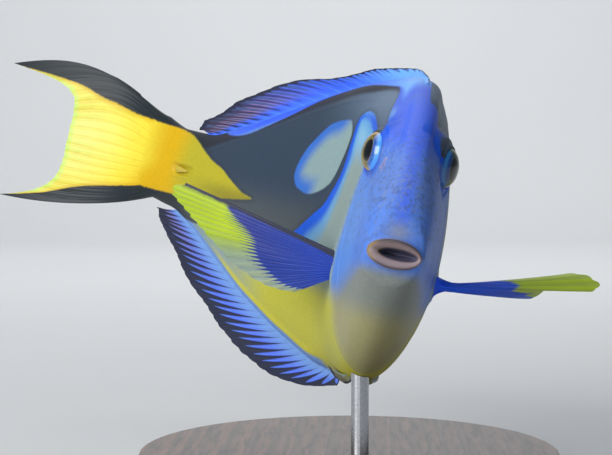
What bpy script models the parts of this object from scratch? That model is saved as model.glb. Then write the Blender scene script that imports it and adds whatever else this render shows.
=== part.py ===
"""A regal blue tang, life size, swimming towards the viewer with its tail swept to its right, on a plain stand.

Metres, +Z up. The head points towards -Y and the fish's own left is +X. The origin is the middle of the
underside of the stand's base.

A place on the fish is given by three numbers, each a share of its standard length (snout to tail root):
along, from the snout backwards; left, from the middle plane; and up, from the body's axis.
"""
import math
import bpy
import bmesh
import numpy as np
from mathutils import Vector
from mathutils.bvhtree import BVHTree

# Driving sizes
STANDARD_LENGTH = 0.195
GAP = 0.0003
BANK = math.radians(12.9)
AXIS_SHIFT = (0.012, -0.086)
AXIS_HEIGHT = 0.0735

# Stand
BASE_LENGTH = 0.150
BASE_WIDTH = 0.120
BASE_HEIGHT = 0.010
BASE_BEVEL = 0.0012
ROD_RADIUS = 0.0024
ROD_SIDES = 20
ROD_ALONG = 0.262
# The rod's rings from its foot up: share of its radius, and whether the ring lies on the top face
ROD_RINGS = ((0.3, False), (1.0, False), (1.0, True), (0.75, True), (0.5, True), (0.25, True), (0.08, True))

# Body outline, each a share of the standard length, at these places along it
ALONG = (0.0, 0.02, 0.05, 0.10, 0.16, 0.22, 0.30, 0.40, 0.50, 0.60, 0.70, 0.80, 0.88, 0.94, 1.0)
BACK = (0.001, 0.028, 0.068, 0.119, 0.163, 0.194, 0.214, 0.219, 0.209, 0.180, 0.137, 0.094,
        0.070, 0.070, 0.088)
BELLY = (-0.039, -0.060, -0.087, -0.125, -0.163, -0.192, -0.215, -0.228, -0.228, -0.208, -0.171, -0.119,
         -0.079, -0.060, -0.056)
HALF_WIDTH = (0.0355, 0.040, 0.046, 0.054, 0.061, 0.066, 0.074, 0.079, 0.078, 0.070, 0.057, 0.041,
              0.028, 0.018, 0.010)
WIDEST_UP = (-0.019, -0.018, -0.016, -0.016, -0.022, -0.030, -0.036, -0.030, -0.018, -0.010, -0.006, 0.0,
             0.0, 0.0, 0.0)
ROUNDNESS_ABOVE = 2.15
ROUNDNESS_BELOW = 1.95

# Sideways bend: the heading in degrees, towards the fish's right, at these places along it
BEND_ALONG = (0.0, 0.24, 0.36, 0.50, 0.70, 0.90, 1.0, 1.14, 1.32)
BEND = (0.0, 0.0, 5.0, 32.0, 48.0, 43.0, 41.0, 71.0, 94.0)

# Head
RING_SIDES = 40
MOUTH_UP = -0.019
MOUTH_HALF_WIDTH = 0.0365
MOUTH_HALF_HEIGHT = 0.0200
GILL_ALONG = 0.262
GILL_UP = -0.03
GILL_CURVE = 0.85
GILL_STEP = 0.0030
EYE_ALONG = 0.168
EYE_UP = 0.104
EYE_OUT = 0.040
EYE_RADIUS = 0.0056
EYE_HALF_DEPTH = 0.0046
EYE_FORWARD = math.radians(9)
EYE_RAISED = math.radians(13)
LID_RADIUS = 0.00535
LID_THICKNESS = 0.0007
# Nostrils: along, up, radius in metres
NOSTRILS = ((0.128, 0.100, 0.0011), (0.113, 0.093, 0.0007))
NOSTRIL_HEIGHT_SHARE = 1.4
NOSTRIL_WIDTH_SHARE = 0.8

# Stations of the head's rings between the lips and the gill cover, and where the gill's curve begins
FACE_STATIONS = (0.009, 0.015, 0.024, 0.035, 0.048, 0.062, 0.077, 0.093, 0.110, 0.128, 0.146, 0.163,
                 0.180, 0.196, 0.212)
GILL_CURVE_START = 0.12
# Mouth rings: along, share of the half width, share of the half height
MOUTH_INSIDE = ((0.024, 0.50, 0.16), (0.012, 0.62, 0.24), (0.0035, 0.68, 0.31))
LIPS = ((-0.001, 0.74, 0.42), (-0.0035, 0.84, 0.62), (-0.002, 0.95, 0.82), (0.003, 0.985, 0.92),
        (0.0055, 0.975, 0.93))
# Gill cover and the flank behind it: along, share of the gill's curve, share of the step outwards
GILL_COVER = ((0.232, 0.80, 0.2), (0.250, 0.93, 0.5), (GILL_ALONG, 1.0, 0.5))
BEHIND_GILL = ((GILL_ALONG + GAP / STANDARD_LENGTH, 1.0, -0.3), (0.272, 0.98, -0.2), (0.288, 0.88, 0.0),
               (0.308, 0.70, 0.0))

# Trunk and tail stalk
TRUNK_START = 0.332
TRUNK_RINGS = 18
TAIL_CUT = 0.86
TAIL_RINGS = 8
SPINE_ALONG = 0.925
SPINE_UP = 0.004
SPINE_LENGTH = 0.0085
SPINE_RADIUS = 0.0011
SPINE_BREADTH_SHARE = 1.5
SPINE_TIP_SHARE = 0.12
SPINE_SUNK = 0.0015
SPINE_RAISED = 0.0022

# Half thickness of fin rays and of the skin between them, from root to margin
RAY_ROOT = 0.00060
RAY_TIP = 0.00034
MEMBRANE_ROOT = 0.00036
MEMBRANE_TIP = 0.00026
STEP_ALONG = 0.01

# Dorsal and anal fins: rays, first and last root, then by share of the base: ray length, lean in degrees
DORSAL_RAYS = 28
DORSAL_BASE = (0.262, 0.885)
DORSAL_LENGTHS = ((0.0, 0.15, 0.3, 0.42, 0.5, 0.6, 0.7, 0.8, 0.9, 1.0),
                  (0.012, 0.024, 0.045, 0.054, 0.070, 0.122, 0.138, 0.127, 0.087, 0.032))
DORSAL_LEANS = ((0.0, 0.5, 0.67, 0.8, 1.0), (25.0, 31.0, 27.0, 22.5, 18.0))
ANAL_RAYS = 21
ANAL_BASE = (0.450, 0.925)
ANAL_LENGTHS = ((0.0, 0.1, 0.3, 0.5, 0.6, 0.7, 0.8, 0.9, 1.0),
                (0.022, 0.040, 0.097, 0.128, 0.140, 0.138, 0.126, 0.093, 0.058))
ANAL_LEANS = ((0.0, 0.22, 0.32, 0.42, 0.5, 0.7, 1.0), (72.0, 66.0, 52.0, 42.0, 36.0, 30.0, 24.0))
RAY_CURVE = 0.18
MEDIAN_NOTCH = 0.94

# Tail fin: ray lengths and half heights
CAUDAL_RAYS = 17
CAUDAL_UPPER_LOBE = 0.322
CAUDAL_LOWER_LOBE = 0.300
CAUDAL_MIDDLE = 0.203
CAUDAL_FORK_ABOVE = 9.0
CAUDAL_FORK_BELOW = 4.3
CAUDAL_UPPER = 0.138
CAUDAL_LOWER = 0.112
CAUDAL_ROOT_SHARE = 0.96
CAUDAL_NOTCH = 0.975
CAUDAL_THICKNESS = 1.5
# How the outer rays flare from the root: share of half a sine wave, and its power
CAUDAL_FLARE_ABOVE = (0.764, 1.57)
CAUDAL_FLARE_BELOW = (0.50, 1.0)

# Pectoral fins: root, then by share of the root: ray length, sweep back and rise in degrees
PECTORAL_RAYS = 16
PECTORAL_ALONG = 0.268
PECTORAL_SLOPE = 0.006
PECTORAL_UP = -0.045
PECTORAL_ROOT = 0.038
PECTORAL_CURL = 0.05
PECTORAL_NOTCH = 0.955
PECTORAL_THICKNESS = 1.3
PECTORAL_LENGTHS = ((0.0, 0.12, 0.4, 0.7, 1.0), (0.244, 0.265, 0.226, 0.156, 0.062))
RIGHT_SWEEPS = ((0.0, 0.5, 1.0), (19.0, 23.0, 34.0))
RIGHT_RISES = ((0.0, 0.5, 1.0), (10.5, 0.8, -30.0))
LEFT_SWEEPS = ((0.0, 0.5, 1.0), (17.0, 40.5, 71.5))
LEFT_RISES = ((0.0, 0.2, 0.4, 0.65, 1.0), (8.5, 13.7, 2.5, 7.5, 3.7))
# How far the left fin, held edge on, closes up past its root: share, height and reach
LEFT_GATHER = 0.68
GATHER_UP = -0.067
GATHER_OVER = 0.015

# Pelvic fins, folded along the belly: angles round the belly in degrees
PELVIC_RAYS = 4
PELVIC_ALONG = 0.300
PELVIC_LENGTH = 0.130
PELVIC_TAPER = 0.30
PELVIC_ANGLE = 7.0
PELVIC_SPREAD = 13.0
PELVIC_LIFT = 0.0008 / STANDARD_LENGTH
PELVIC_RISE = 0.003
PELVIC_NOTCH = 0.96
PELVIC_THICKNESS = 0.8


def smooth(places, values, at):
    """A smooth curve through the values that never swings past them."""
    places = np.asarray(places, float)
    values = np.asarray(values, float)
    at = np.clip(np.asarray(at, float), places[0], places[-1])
    step = np.diff(places)
    slope = np.diff(values) / step
    tangent = np.zeros(len(places))
    tangent[0] = slope[0]
    tangent[-1] = slope[-1]
    for i in range(1, len(places) - 1):
        if slope[i - 1] * slope[i] > 0:
            after = 2 * step[i] + step[i - 1]
            before = step[i] + 2 * step[i - 1]
            tangent[i] = (after + before) / (after / slope[i - 1] + before / slope[i])
    i = np.clip(np.searchsorted(places, at, side="right") - 1, 0, len(step) - 1)
    t = (at - places[i]) / step[i]
    start = (1 + 2 * t) * (1 - t) ** 2 * values[i] + t * (1 - t) ** 2 * step[i] * tangent[i]
    end = t * t * (3 - 2 * t) * values[i + 1] + t * t * (t - 1) * step[i] * tangent[i + 1]
    return start + end


def heading(along):
    return np.radians(smooth(BEND_ALONG, BEND, along))


def axis_table():
    """Steps along the bent axis, with the place of each in plan."""
    stations = np.linspace(0, 1.4, 701)
    middle = heading((stations[1:] + stations[:-1]) / 2)
    step = stations[1] - stations[0]
    across = np.concatenate([[0], np.cumsum(-np.sin(middle)) * step])
    back = np.concatenate([[0], np.cumsum(np.cos(middle)) * step])
    return stations, across, back


STATIONS, AXIS_ACROSS, AXIS_BACK = axis_table()


def place(along, left, up):
    """Bend, bank and lift a place on the fish into the world."""
    along, left, up = np.broadcast_arrays(*(np.asarray(v, float) for v in (along, left, up)))
    turn = heading(along)
    x = np.interp(along, STATIONS, AXIS_ACROSS) + left * np.cos(turn)
    y = np.interp(along, STATIONS, AXIS_BACK) + np.minimum(along, 0) + left * np.sin(turn)
    banked_x = x * math.cos(BANK) + up * math.sin(BANK)
    banked_z = up * math.cos(BANK) - x * math.sin(BANK)
    points = np.stack([banked_x, y, banked_z], -1) * STANDARD_LENGTH
    return points + np.array([AXIS_SHIFT[0], AXIS_SHIFT[1], AXIS_HEIGHT])


def section(along, angle):
    """Left and up of the skin, where angle 0 is the left side and 90 degrees the back."""
    top = smooth(ALONG, BACK, along)
    bottom = smooth(ALONG, BELLY, along)
    width = smooth(ALONG, HALF_WIDTH, along)
    widest = smooth(ALONG, WIDEST_UP, along)
    c = np.cos(angle)
    s = np.sin(angle)
    power = np.where(s > 0, 2 / ROUNDNESS_ABOVE, 2 / ROUNDNESS_BELOW)
    height = np.where(s > 0, top - widest, widest - bottom)
    return width * np.sign(c) * np.abs(c) ** power, widest + height * np.sign(s) * np.abs(s) ** power


def side_out(along, up):
    """How far the skin lies from the middle plane at a height."""
    top = smooth(ALONG, BACK, along)
    bottom = smooth(ALONG, BELLY, along)
    width = smooth(ALONG, HALF_WIDTH, along)
    widest = smooth(ALONG, WIDEST_UP, along)
    above = np.clip((up - widest) / (top - widest), 0, 1) ** ROUNDNESS_ABOVE
    below = np.clip((widest - up) / (widest - bottom), 0, 1) ** ROUNDNESS_BELOW
    share = np.where(up > widest, above, below)
    power = np.where(up > widest, 1 / ROUNDNESS_ABOVE, 1 / ROUNDNESS_BELOW)
    return width * (1 - share) ** power


def gill_shift(angle):
    """How far forward the gill edge runs towards the back and the belly."""
    up = 0.2 * np.sin(angle)
    return -GILL_CURVE * (up - GILL_UP) ** 2


def ring(along, shift_share=0.0, grow=0.0):
    """One closed ring of the skin; grow moves it outwards at the sides, in shares of the length."""
    angle = (np.arange(RING_SIDES) + 0.5) * 2 * math.pi / RING_SIDES
    station = along + shift_share * gill_shift(angle)
    left, up = section(station, angle)
    side = np.cos(angle) ** 2
    left = left + grow * side * np.sign(np.cos(angle))
    return place(station, left, up)


def mouth_ring(along, width, height):
    """One closed ring of the lips or of the mouth's inside."""
    angle = (np.arange(RING_SIDES) + 0.5) * 2 * math.pi / RING_SIDES
    left = MOUTH_HALF_WIDTH * width * np.cos(angle)
    lift = np.sin(angle) * MOUTH_HALF_HEIGHT * height
    return place(along, left, MOUTH_UP + lift)


def mesh_object(name, points, faces):
    mesh = bpy.data.meshes.new(name)
    mesh.from_pydata([tuple(p) for p in points], [], faces)
    obj = bpy.data.objects.new(name, mesh)
    PARTS.objects.link(obj)
    work = bmesh.new()
    work.from_mesh(mesh)
    bmesh.ops.recalc_face_normals(work, faces=work.faces)
    if work.calc_volume(signed=True) < 0:
        bmesh.ops.reverse_faces(work, faces=work.faces)
    work.to_mesh(mesh)
    work.free()
    return obj


def loft(name, rings):
    """A closed body through rings of the same count, with a fan at each end."""
    sides = len(rings[0])
    points = np.concatenate(list(rings) + [rings[0].mean(0)[None], rings[-1].mean(0)[None]])
    start = len(points) - 2
    end = len(points) - 1
    faces = []
    for j in range(len(rings) - 1):
        for i in range(sides):
            n = (i + 1) % sides
            a, b = j * sides + i, j * sides + n
            c, d = a + sides, b + sides
            faces += [(a, b, d), (a, d, c)]
    last = (len(rings) - 1) * sides
    for i in range(sides):
        n = (i + 1) % sides
        faces += [(start, n, i), (end, last + i, last + n)]
    return mesh_object(name, points, faces)


def blade(name, middle, half, outward=None):
    """A closed thin blade round a grid of middle points, split into triangles alike on both faces.

    middle and half go by row from the root to the margin, then by column. outward gives the direction
    of half the thickness on the root row, where the blade stands on a surface.
    """
    rows, columns = half.shape
    down = np.gradient(middle, axis=0)
    across = np.gradient(middle, axis=1)
    normal = np.cross(across, down)
    normal /= np.linalg.norm(normal, axis=-1, keepdims=True)
    if outward is not None:
        flip = np.sign((normal[0] * outward).sum(-1, keepdims=True))
        normal[0] = outward * flip
    left = middle + normal * half[..., None]
    right = middle - normal * half[..., None]
    points = np.concatenate([left.reshape(-1, 3), right.reshape(-1, 3)])
    other = rows * columns

    def at(j, i):
        return j * columns + i

    faces = []
    for j in range(rows - 1):
        for i in range(columns - 1):
            a, b, c, d = at(j, i), at(j, i + 1), at(j + 1, i + 1), at(j + 1, i)
            faces += [(a, b, c), (a, c, d)]
            faces += [(other + c, other + b, other + a), (other + d, other + c, other + a)]
    rim = [at(0, i) for i in range(columns)]
    rim += [at(j, columns - 1) for j in range(1, rows)]
    rim += [at(rows - 1, i) for i in range(columns - 2, -1, -1)]
    rim += [at(j, 0) for j in range(rows - 2, 0, -1)]
    for k, a in enumerate(rim):
        b = rim[(k + 1) % len(rim)]
        faces += [(a, other + b, b), (a, other + a, other + b)]
    return mesh_object(name, points, faces)


def ray_columns(rays):
    """Columns on each ray and between them: their place in rays, and whether each is a ray."""
    columns = np.linspace(0, rays - 1, 2 * rays - 1)
    is_ray = np.arange(len(columns)) % 2 == 0
    return columns, is_ray


def ray_half(is_ray, rows, root=1.0):
    """Half the fin's thickness, thinner towards the margin and raised on each ray."""
    t = np.linspace(0, 1, rows)[:, None]
    ray = RAY_ROOT * root + (RAY_TIP - RAY_ROOT * root) * t
    skin = MEMBRANE_ROOT * root + (MEMBRANE_TIP - MEMBRANE_ROOT * root) * t
    return np.where(is_ray[None, :], ray, skin)


def median_fin(name, rays, base, edge, side, lengths, leans, rows=6):
    """A dorsal or anal fin, whose rays stand on the back or belly and lean towards the tail."""
    columns, is_ray = ray_columns(rays)
    share = columns / (rays - 1)
    root = base[0] + (base[1] - base[0]) * share
    length = smooth(*lengths, share) * np.where(is_ray, 1.0, MEDIAN_NOTCH)
    lean = np.radians(smooth(*leans, share))
    root_up = smooth(ALONG, edge, root)
    rise = smooth(ALONG, edge, root + STEP_ALONG) - smooth(ALONG, edge, root - STEP_ALONG)
    tangent = np.arctan(rise / (2 * STEP_ALONG))
    gap = GAP / STANDARD_LENGTH
    out = np.linspace(0, 1, rows)[:, None]
    turn = tangent + side * lean * (1 - RAY_CURVE * out)
    along = root - side * gap * np.sin(tangent) + out * length * np.cos(turn)
    up = root_up + side * gap * np.cos(tangent) + out * length * np.sin(turn)
    middle = place(along, 0.0, up)
    return blade(name, middle, ray_half(is_ray, rows))


def caudal_flare(out, wave, power):
    return np.sin(out * math.pi * wave) ** power


def caudal_fin(name, rows=9):
    """The tail fin: a fan whose outer rays run on as two short lobes."""
    columns, is_ray = ray_columns(CAUDAL_RAYS)
    share = 2 * columns / (CAUDAL_RAYS - 1) - 1
    root_up = CAUDAL_ROOT_SHARE * np.where(share > 0, BACK[-1], -BELLY[-1])
    lobe = np.where(share > 0, CAUDAL_UPPER_LOBE, CAUDAL_LOWER_LOBE)
    fork = np.where(share > 0, CAUDAL_FORK_ABOVE, CAUDAL_FORK_BELOW)
    length = CAUDAL_MIDDLE + (lobe - CAUDAL_MIDDLE) * np.abs(share) ** fork
    length = length * np.where(is_ray, 1.0, CAUDAL_NOTCH)
    spread = np.where(share > 0, CAUDAL_UPPER, CAUDAL_LOWER)
    out = np.linspace(0, 1, rows)[:, None]
    above = caudal_flare(out, *CAUDAL_FLARE_ABOVE)
    below = caudal_flare(out, *CAUDAL_FLARE_BELOW)
    flare = np.where(share > 0, above, below)
    along = 1.0 + GAP / STANDARD_LENGTH + out * length
    up = share * (root_up + (spread - root_up) * flare)
    middle = place(along, 0.0, up)
    return blade(name, middle, ray_half(is_ray, rows, CAUDAL_THICKNESS))


def direction(side, sweep, rise):
    """A unit direction in fish shares: out to the side, swept back and raised, angles in degrees."""
    sweep = np.radians(sweep)
    rise = np.radians(rise)
    return np.stack([np.sin(sweep) * np.cos(rise), side * np.cos(sweep) * np.cos(rise), np.sin(rise)], -1)


def pectoral_fin(name, side, sweeps, rises, gather=0.0, rows=8):
    """A side fin: its rays fan from a short root on the flank behind the gill."""
    columns, is_ray = ray_columns(PECTORAL_RAYS)
    share = columns / (PECTORAL_RAYS - 1)
    root_along = PECTORAL_ALONG + PECTORAL_SLOPE * share
    root_up = PECTORAL_UP - PECTORAL_ROOT * share
    root_out = side_out(root_along, root_up)
    length = smooth(*PECTORAL_LENGTHS, share) * np.where(is_ray, 1.0, PECTORAL_NOTCH)
    aim = direction(side, smooth(*sweeps, share), smooth(*rises, share))
    out = np.linspace(0, 1, rows)[:, None]
    reach = out * length
    gap = GAP / STANDARD_LENGTH
    along = root_along + reach * aim[:, 0]
    left = side * (root_out + gap) + reach * aim[:, 1]
    gathered = gather * (GATHER_UP - root_up) * (1 - np.exp(-reach / GATHER_OVER))
    up = root_up + reach * aim[:, 2] + gathered
    curl = PECTORAL_CURL * out ** 2 * length
    middle = place(along + curl, left, up)
    half = ray_half(is_ray, rows, PECTORAL_THICKNESS)
    next_along = root_along + STEP_ALONG / 5
    outward = place(next_along, side * (side_out(next_along, root_up) + gap), root_up) - middle[0]
    outward /= np.linalg.norm(outward, axis=-1, keepdims=True)
    return blade(name, middle, half, outward)


def pelvic_fin(name, side, rows=6):
    """A small fin of the breast, folded back along the belly beside its fellow."""
    columns, is_ray = ray_columns(PELVIC_RAYS)
    share = columns / (PELVIC_RAYS - 1)
    out = np.linspace(0, 1, rows)[:, None]
    length = PELVIC_LENGTH * (1 - PELVIC_TAPER * share) * np.where(is_ray, 1.0, PELVIC_NOTCH)
    along = PELVIC_ALONG + out * length
    angle = np.radians(PELVIC_ANGLE + PELVIC_SPREAD * share * (0.6 + 0.9 * out))
    left, up = section(along, -np.pi / 2 + angle)
    lift = PELVIC_LIFT + PELVIC_RISE * out ** 1.5
    middle = place(along, side * (left + lift * np.sin(angle)), up - lift * np.cos(angle))
    return blade(name, middle, ray_half(is_ray, rows) * PELVIC_THICKNESS)


def head_rings():
    """The mouth's inside, the lips, the snout and the head back to the gill edge."""
    rings = [mouth_ring(*size) for size in MOUTH_INSIDE + LIPS]
    for along in FACE_STATIONS:
        curve = max(0.0, (along - GILL_CURVE_START) / (GILL_ALONG - GILL_CURVE_START)) ** 1.5
        rings.append(ring(along, curve))
    return rings + [ring(along, curve, step * GILL_STEP) for along, curve, step in GILL_COVER]


def torso_rings():
    """From the gill edge to the cut before the tail stalk."""
    rings = [ring(along, curve, step * GILL_STEP) for along, curve, step in BEHIND_GILL]
    for along in np.linspace(TRUNK_START, TAIL_CUT, TRUNK_RINGS):
        rings.append(ring(along, max(0.0, 0.5 - 2.5 * (along - TRUNK_START))))
    return rings


def tail_rings():
    return [ring(along) for along in np.linspace(TAIL_CUT + GAP / STANDARD_LENGTH, 1.0, TAIL_RINGS)]


def eye_frame(side):
    """The eye's centre and its outward, forward and upward directions in the world."""
    centre = place(EYE_ALONG, side * EYE_OUT, EYE_UP)
    ahead = place(EYE_ALONG - STEP_ALONG, side * EYE_OUT, EYE_UP) - centre
    above = place(EYE_ALONG, side * EYE_OUT, EYE_UP + STEP_ALONG) - centre
    outer = place(EYE_ALONG, side * (EYE_OUT + STEP_ALONG), EYE_UP) - centre
    ahead, above, outer = (Vector(v).normalized() for v in (ahead, above, outer))
    aim = (outer + ahead * math.tan(EYE_FORWARD) + above * math.tan(EYE_RAISED)).normalized()
    front = (ahead - aim * ahead.dot(aim)).normalized()
    return Vector(centre), aim, front, aim.cross(front)


def turned(points, centre, aim, front, third):
    """Local points, whose Z runs along aim, set in the world."""
    return [centre + front * p[0] + third * p[1] + aim * p[2] for p in points]


def eye_lens(name, side, grow=0.0, sides=20, bands=10):
    """The eyeball: a flattened ball, larger by grow as the cutter of its socket."""
    work = bmesh.new()
    bmesh.ops.create_uvsphere(work, u_segments=sides, v_segments=bands, radius=1.0)
    frame = eye_frame(side)
    radius = EYE_RADIUS + grow
    depth = EYE_HALF_DEPTH + grow
    local = [(v.co.x * radius, v.co.y * radius, v.co.z * depth) for v in work.verts]
    for vertex, where in zip(work.verts, turned(local, *frame)):
        vertex.co = where
    bmesh.ops.triangulate(work, faces=work.faces)
    return bmesh_object(name, work)


def lid_ring(name, side, surface, around=28, sides=6):
    """The fleshy rim round the eye, laid along the skin's own surface."""
    centre, aim, front, third = eye_frame(side)
    rings = []
    for k in range(around):
        turn = 2 * math.pi * k / around
        outward = front * math.cos(turn) + third * math.sin(turn)
        start = centre + outward * LID_RADIUS + aim * 4 * EYE_RADIUS
        hit = surface.ray_cast(start, -aim)
        loop = []
        for m in range(sides):
            roll = 2 * math.pi * m / sides
            loop.append(hit[0] + (outward * math.cos(roll) + aim * math.sin(roll)) * LID_THICKNESS)
        rings.append(loop)
    points = [p for loop in rings for p in loop]
    faces = []
    for k in range(around):
        for m in range(sides):
            a = k * sides + m
            b = k * sides + (m + 1) % sides
            c = (k + 1) % around * sides + (m + 1) % sides
            d = (k + 1) % around * sides + m
            faces += [(a, b, c), (a, c, d)]
    return mesh_object(name, points, faces)


def bmesh_object(name, work):
    bmesh.ops.recalc_face_normals(work, faces=work.faces)
    mesh = bpy.data.meshes.new(name)
    work.to_mesh(mesh)
    work.free()
    obj = bpy.data.objects.new(name, mesh)
    PARTS.objects.link(obj)
    return obj


def nostril_cutter(name, side, along, up, radius):
    """A small oval pit, longer than wide, in the skin before the eye."""
    out = float(side_out(along, up))
    centre = Vector(place(along, side * out, up))
    outer = (Vector(place(along, side * (out + STEP_ALONG), up)) - centre).normalized()
    above = (Vector(place(along, side * out, up + STEP_ALONG)) - centre).normalized()
    work = bmesh.new()
    bmesh.ops.create_uvsphere(work, u_segments=12, v_segments=8, radius=1.0)
    frame = (centre, outer, above, outer.cross(above))
    high = radius * NOSTRIL_HEIGHT_SHARE
    wide = radius * NOSTRIL_WIDTH_SHARE
    local = [(v.co.x * high, v.co.y * wide, v.co.z * radius) for v in work.verts]
    for vertex, where in zip(work.verts, turned(local, *frame)):
        vertex.co = where
    return bmesh_object(name, work)


def tail_spine(name, side):
    """The folding spine of the tail stalk, a flat point that lies forward along its groove."""
    out = float(side_out(SPINE_ALONG, SPINE_UP)) - SPINE_SUNK
    rear = Vector(place(SPINE_ALONG, side * out, SPINE_UP))
    tip_along = SPINE_ALONG - SPINE_LENGTH / STANDARD_LENGTH
    tip_out = float(side_out(tip_along, SPINE_UP)) + SPINE_RAISED
    tip = Vector(place(tip_along, side * tip_out, SPINE_UP))
    forward = (tip - rear).normalized()
    above = Vector(place(SPINE_ALONG, side * out, SPINE_UP + STEP_ALONG)) - rear
    above = (above - forward * above.dot(forward)).normalized()
    outer = forward.cross(above)
    work = bmesh.new()
    bmesh.ops.create_cone(work, cap_ends=True, segments=10, radius1=1.0,
                          radius2=SPINE_TIP_SHARE, depth=1.0)
    for vertex in work.verts:
        x, y, z = vertex.co
        across = above * (x * SPINE_RADIUS * SPINE_BREADTH_SHARE) + outer * (y * SPINE_RADIUS)
        vertex.co = rear + across + forward * ((z + 0.5) * SPINE_LENGTH)
    return bmesh_object(name, work)


def combine(obj, others, operation):
    """Apply one Boolean on a collection of closed objects, then keep the largest closed surface."""
    group = bpy.data.collections.new(obj.name + "_pieces")
    for other in others:
        for owner in list(other.users_collection):
            owner.objects.unlink(other)
        group.objects.link(other)
    bpy.context.scene.collection.children.link(group)
    cut = obj.modifiers.new("pieces", "BOOLEAN")
    cut.operation = operation
    cut.operand_type = "COLLECTION"
    cut.collection = group
    cut.solver = "EXACT"
    bpy.context.view_layer.update()
    evaluated = obj.evaluated_get(bpy.context.evaluated_depsgraph_get())
    mesh = bpy.data.meshes.new_from_object(evaluated)
    obj.modifiers.remove(cut)
    old = obj.data
    obj.data = mesh
    mesh.name = obj.name
    bpy.data.meshes.remove(old)
    for other in others:
        bpy.data.objects.remove(other)
    bpy.data.collections.remove(group)
    keep_largest(obj)


def keep_largest(obj):
    work = bmesh.new()
    work.from_mesh(obj.data)
    bmesh.ops.triangulate(work, faces=work.faces)
    left = set(work.faces)
    bodies = []
    while left:
        queue = [left.pop()]
        body = list(queue)
        while queue:
            face = queue.pop()
            for edge in face.edges:
                for near in edge.link_faces:
                    if near in left:
                        left.remove(near)
                        queue.append(near)
                        body.append(near)
        bodies.append(body)
    largest = max(bodies, key=lambda body: sum(face.calc_area() for face in body))
    spare = [face for body in bodies if body is not largest for face in body]
    if spare:
        bmesh.ops.delete(work, geom=spare, context="FACES")
    work.to_mesh(obj.data)
    work.free()


def material(name, colour, roughness, metallic=0.0):
    made = bpy.data.materials.new(name)
    made.use_nodes = True
    shader = made.node_tree.nodes["Principled BSDF"]
    shader.inputs["Base Color"].default_value = (*colour, 1.0)
    shader.inputs["Roughness"].default_value = roughness
    shader.inputs["Metallic"].default_value = metallic
    made.diffuse_color = (*colour, 1.0)
    return made


def finish(obj, look, sharp=math.radians(40)):
    obj.data.materials.clear()
    obj.data.materials.append(look)
    obj.data.shade_smooth()
    obj.data.set_sharp_from_angle(angle=sharp)


def surface_tree(obj):
    """The object's faces, for finding its surface along a line."""
    work = bmesh.new()
    work.from_mesh(obj.data)
    tree = BVHTree.FromBMesh(work)
    work.free()
    return tree


def make_head():
    head = loft("head", head_rings())
    surface = surface_tree(head)
    lids = [lid_ring("lid", side, surface) for side in (1, -1)]
    combine(head, lids, "UNION")
    cutters = [eye_lens("socket", side, grow=GAP) for side in (1, -1)]
    for side in (1, -1):
        for along, up, radius in NOSTRILS:
            cutters.append(nostril_cutter("nostril", side, along, up, radius))
    combine(head, cutters, "DIFFERENCE")
    return head


def make_tail():
    tail = loft("tail_stalk", tail_rings())
    combine(tail, [tail_spine("tail_spine", side) for side in (1, -1)], "UNION")
    return tail


def make_stand(torso, look_base, look_rod):
    """A flat oval base and one rod, whose top is cut to the belly's own slope."""
    bpy.ops.mesh.primitive_cylinder_add(vertices=48, radius=0.5, depth=BASE_HEIGHT,
                                        location=(0, 0, BASE_HEIGHT / 2))
    base = bpy.context.object
    base.name = "stand_base"
    for owner in list(base.users_collection):
        owner.objects.unlink(base)
    PARTS.objects.link(base)
    for vertex in base.data.vertices:
        vertex.co.x *= BASE_WIDTH
        vertex.co.y *= BASE_LENGTH
    bevel = base.modifiers.new("edge", "BEVEL")
    bevel.width = BASE_BEVEL
    bevel.segments = 2
    bevel.limit_method = "ANGLE"
    finish(base, look_base)

    foot = place(ROD_ALONG, 0.0, float(smooth(ALONG, BELLY, ROD_ALONG)))
    tree = surface_tree(torso)
    low = BASE_HEIGHT + GAP
    circle = np.arange(ROD_SIDES) * 2 * math.pi / ROD_SIDES
    rings = []
    for share, is_top in ROD_RINGS:
        x = foot[0] + ROD_RADIUS * share * np.cos(circle)
        y = foot[1] + ROD_RADIUS * share * np.sin(circle)
        z = np.full(ROD_SIDES, low)
        if is_top:
            hits = [tree.ray_cast(Vector((a, b, low)), Vector((0, 0, 1))) for a, b in zip(x, y)]
            z = np.array([hit[0].z - GAP for hit in hits])
        rings.append(np.stack([x, y, z], -1))
    finish(loft("stand_rod", rings), look_rod)


for old in list(bpy.data.objects):
    bpy.data.objects.remove(old)
PARTS = bpy.data.collections.new("regal_blue_tang")
bpy.context.scene.collection.children.link(PARTS)


BLUE = material("skin_blue", (0.05, 0.10, 0.55), 0.45)
DARK = material("skin_dark", (0.03, 0.04, 0.06), 0.5)
FIN_BLUE = material("fin_blue", (0.06, 0.10, 0.60), 0.45)
YELLOW = material("fin_yellow", (0.85, 0.65, 0.03), 0.45)
EYE = material("eye", (0.02, 0.03, 0.05), 0.12)
WOOD = material("stand_wood", (0.20, 0.13, 0.08), 0.5)
STEEL = material("stand_steel", (0.55, 0.55, 0.56), 0.3, 1.0)

finish(make_head(), BLUE)
torso = loft("torso", torso_rings())
finish(torso, DARK)
finish(make_tail(), YELLOW)
finish(caudal_fin("caudal_fin"), YELLOW)
finish(median_fin("dorsal_fin", DORSAL_RAYS, DORSAL_BASE, BACK, 1, DORSAL_LENGTHS, DORSAL_LEANS), FIN_BLUE)
finish(median_fin("anal_fin", ANAL_RAYS, ANAL_BASE, BELLY, -1, ANAL_LENGTHS, ANAL_LEANS), FIN_BLUE)
finish(pectoral_fin("pectoral_fin_right", -1, RIGHT_SWEEPS, RIGHT_RISES), FIN_BLUE)
finish(pectoral_fin("pectoral_fin_left", 1, LEFT_SWEEPS, LEFT_RISES, LEFT_GATHER), FIN_BLUE)
for side, word in ((1, "left"), (-1, "right")):
    finish(pelvic_fin("pelvic_fin_" + word, side), FIN_BLUE)
    finish(eye_lens("eye_" + word, side), EYE)
make_stand(torso, WOOD, STEEL)
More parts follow.
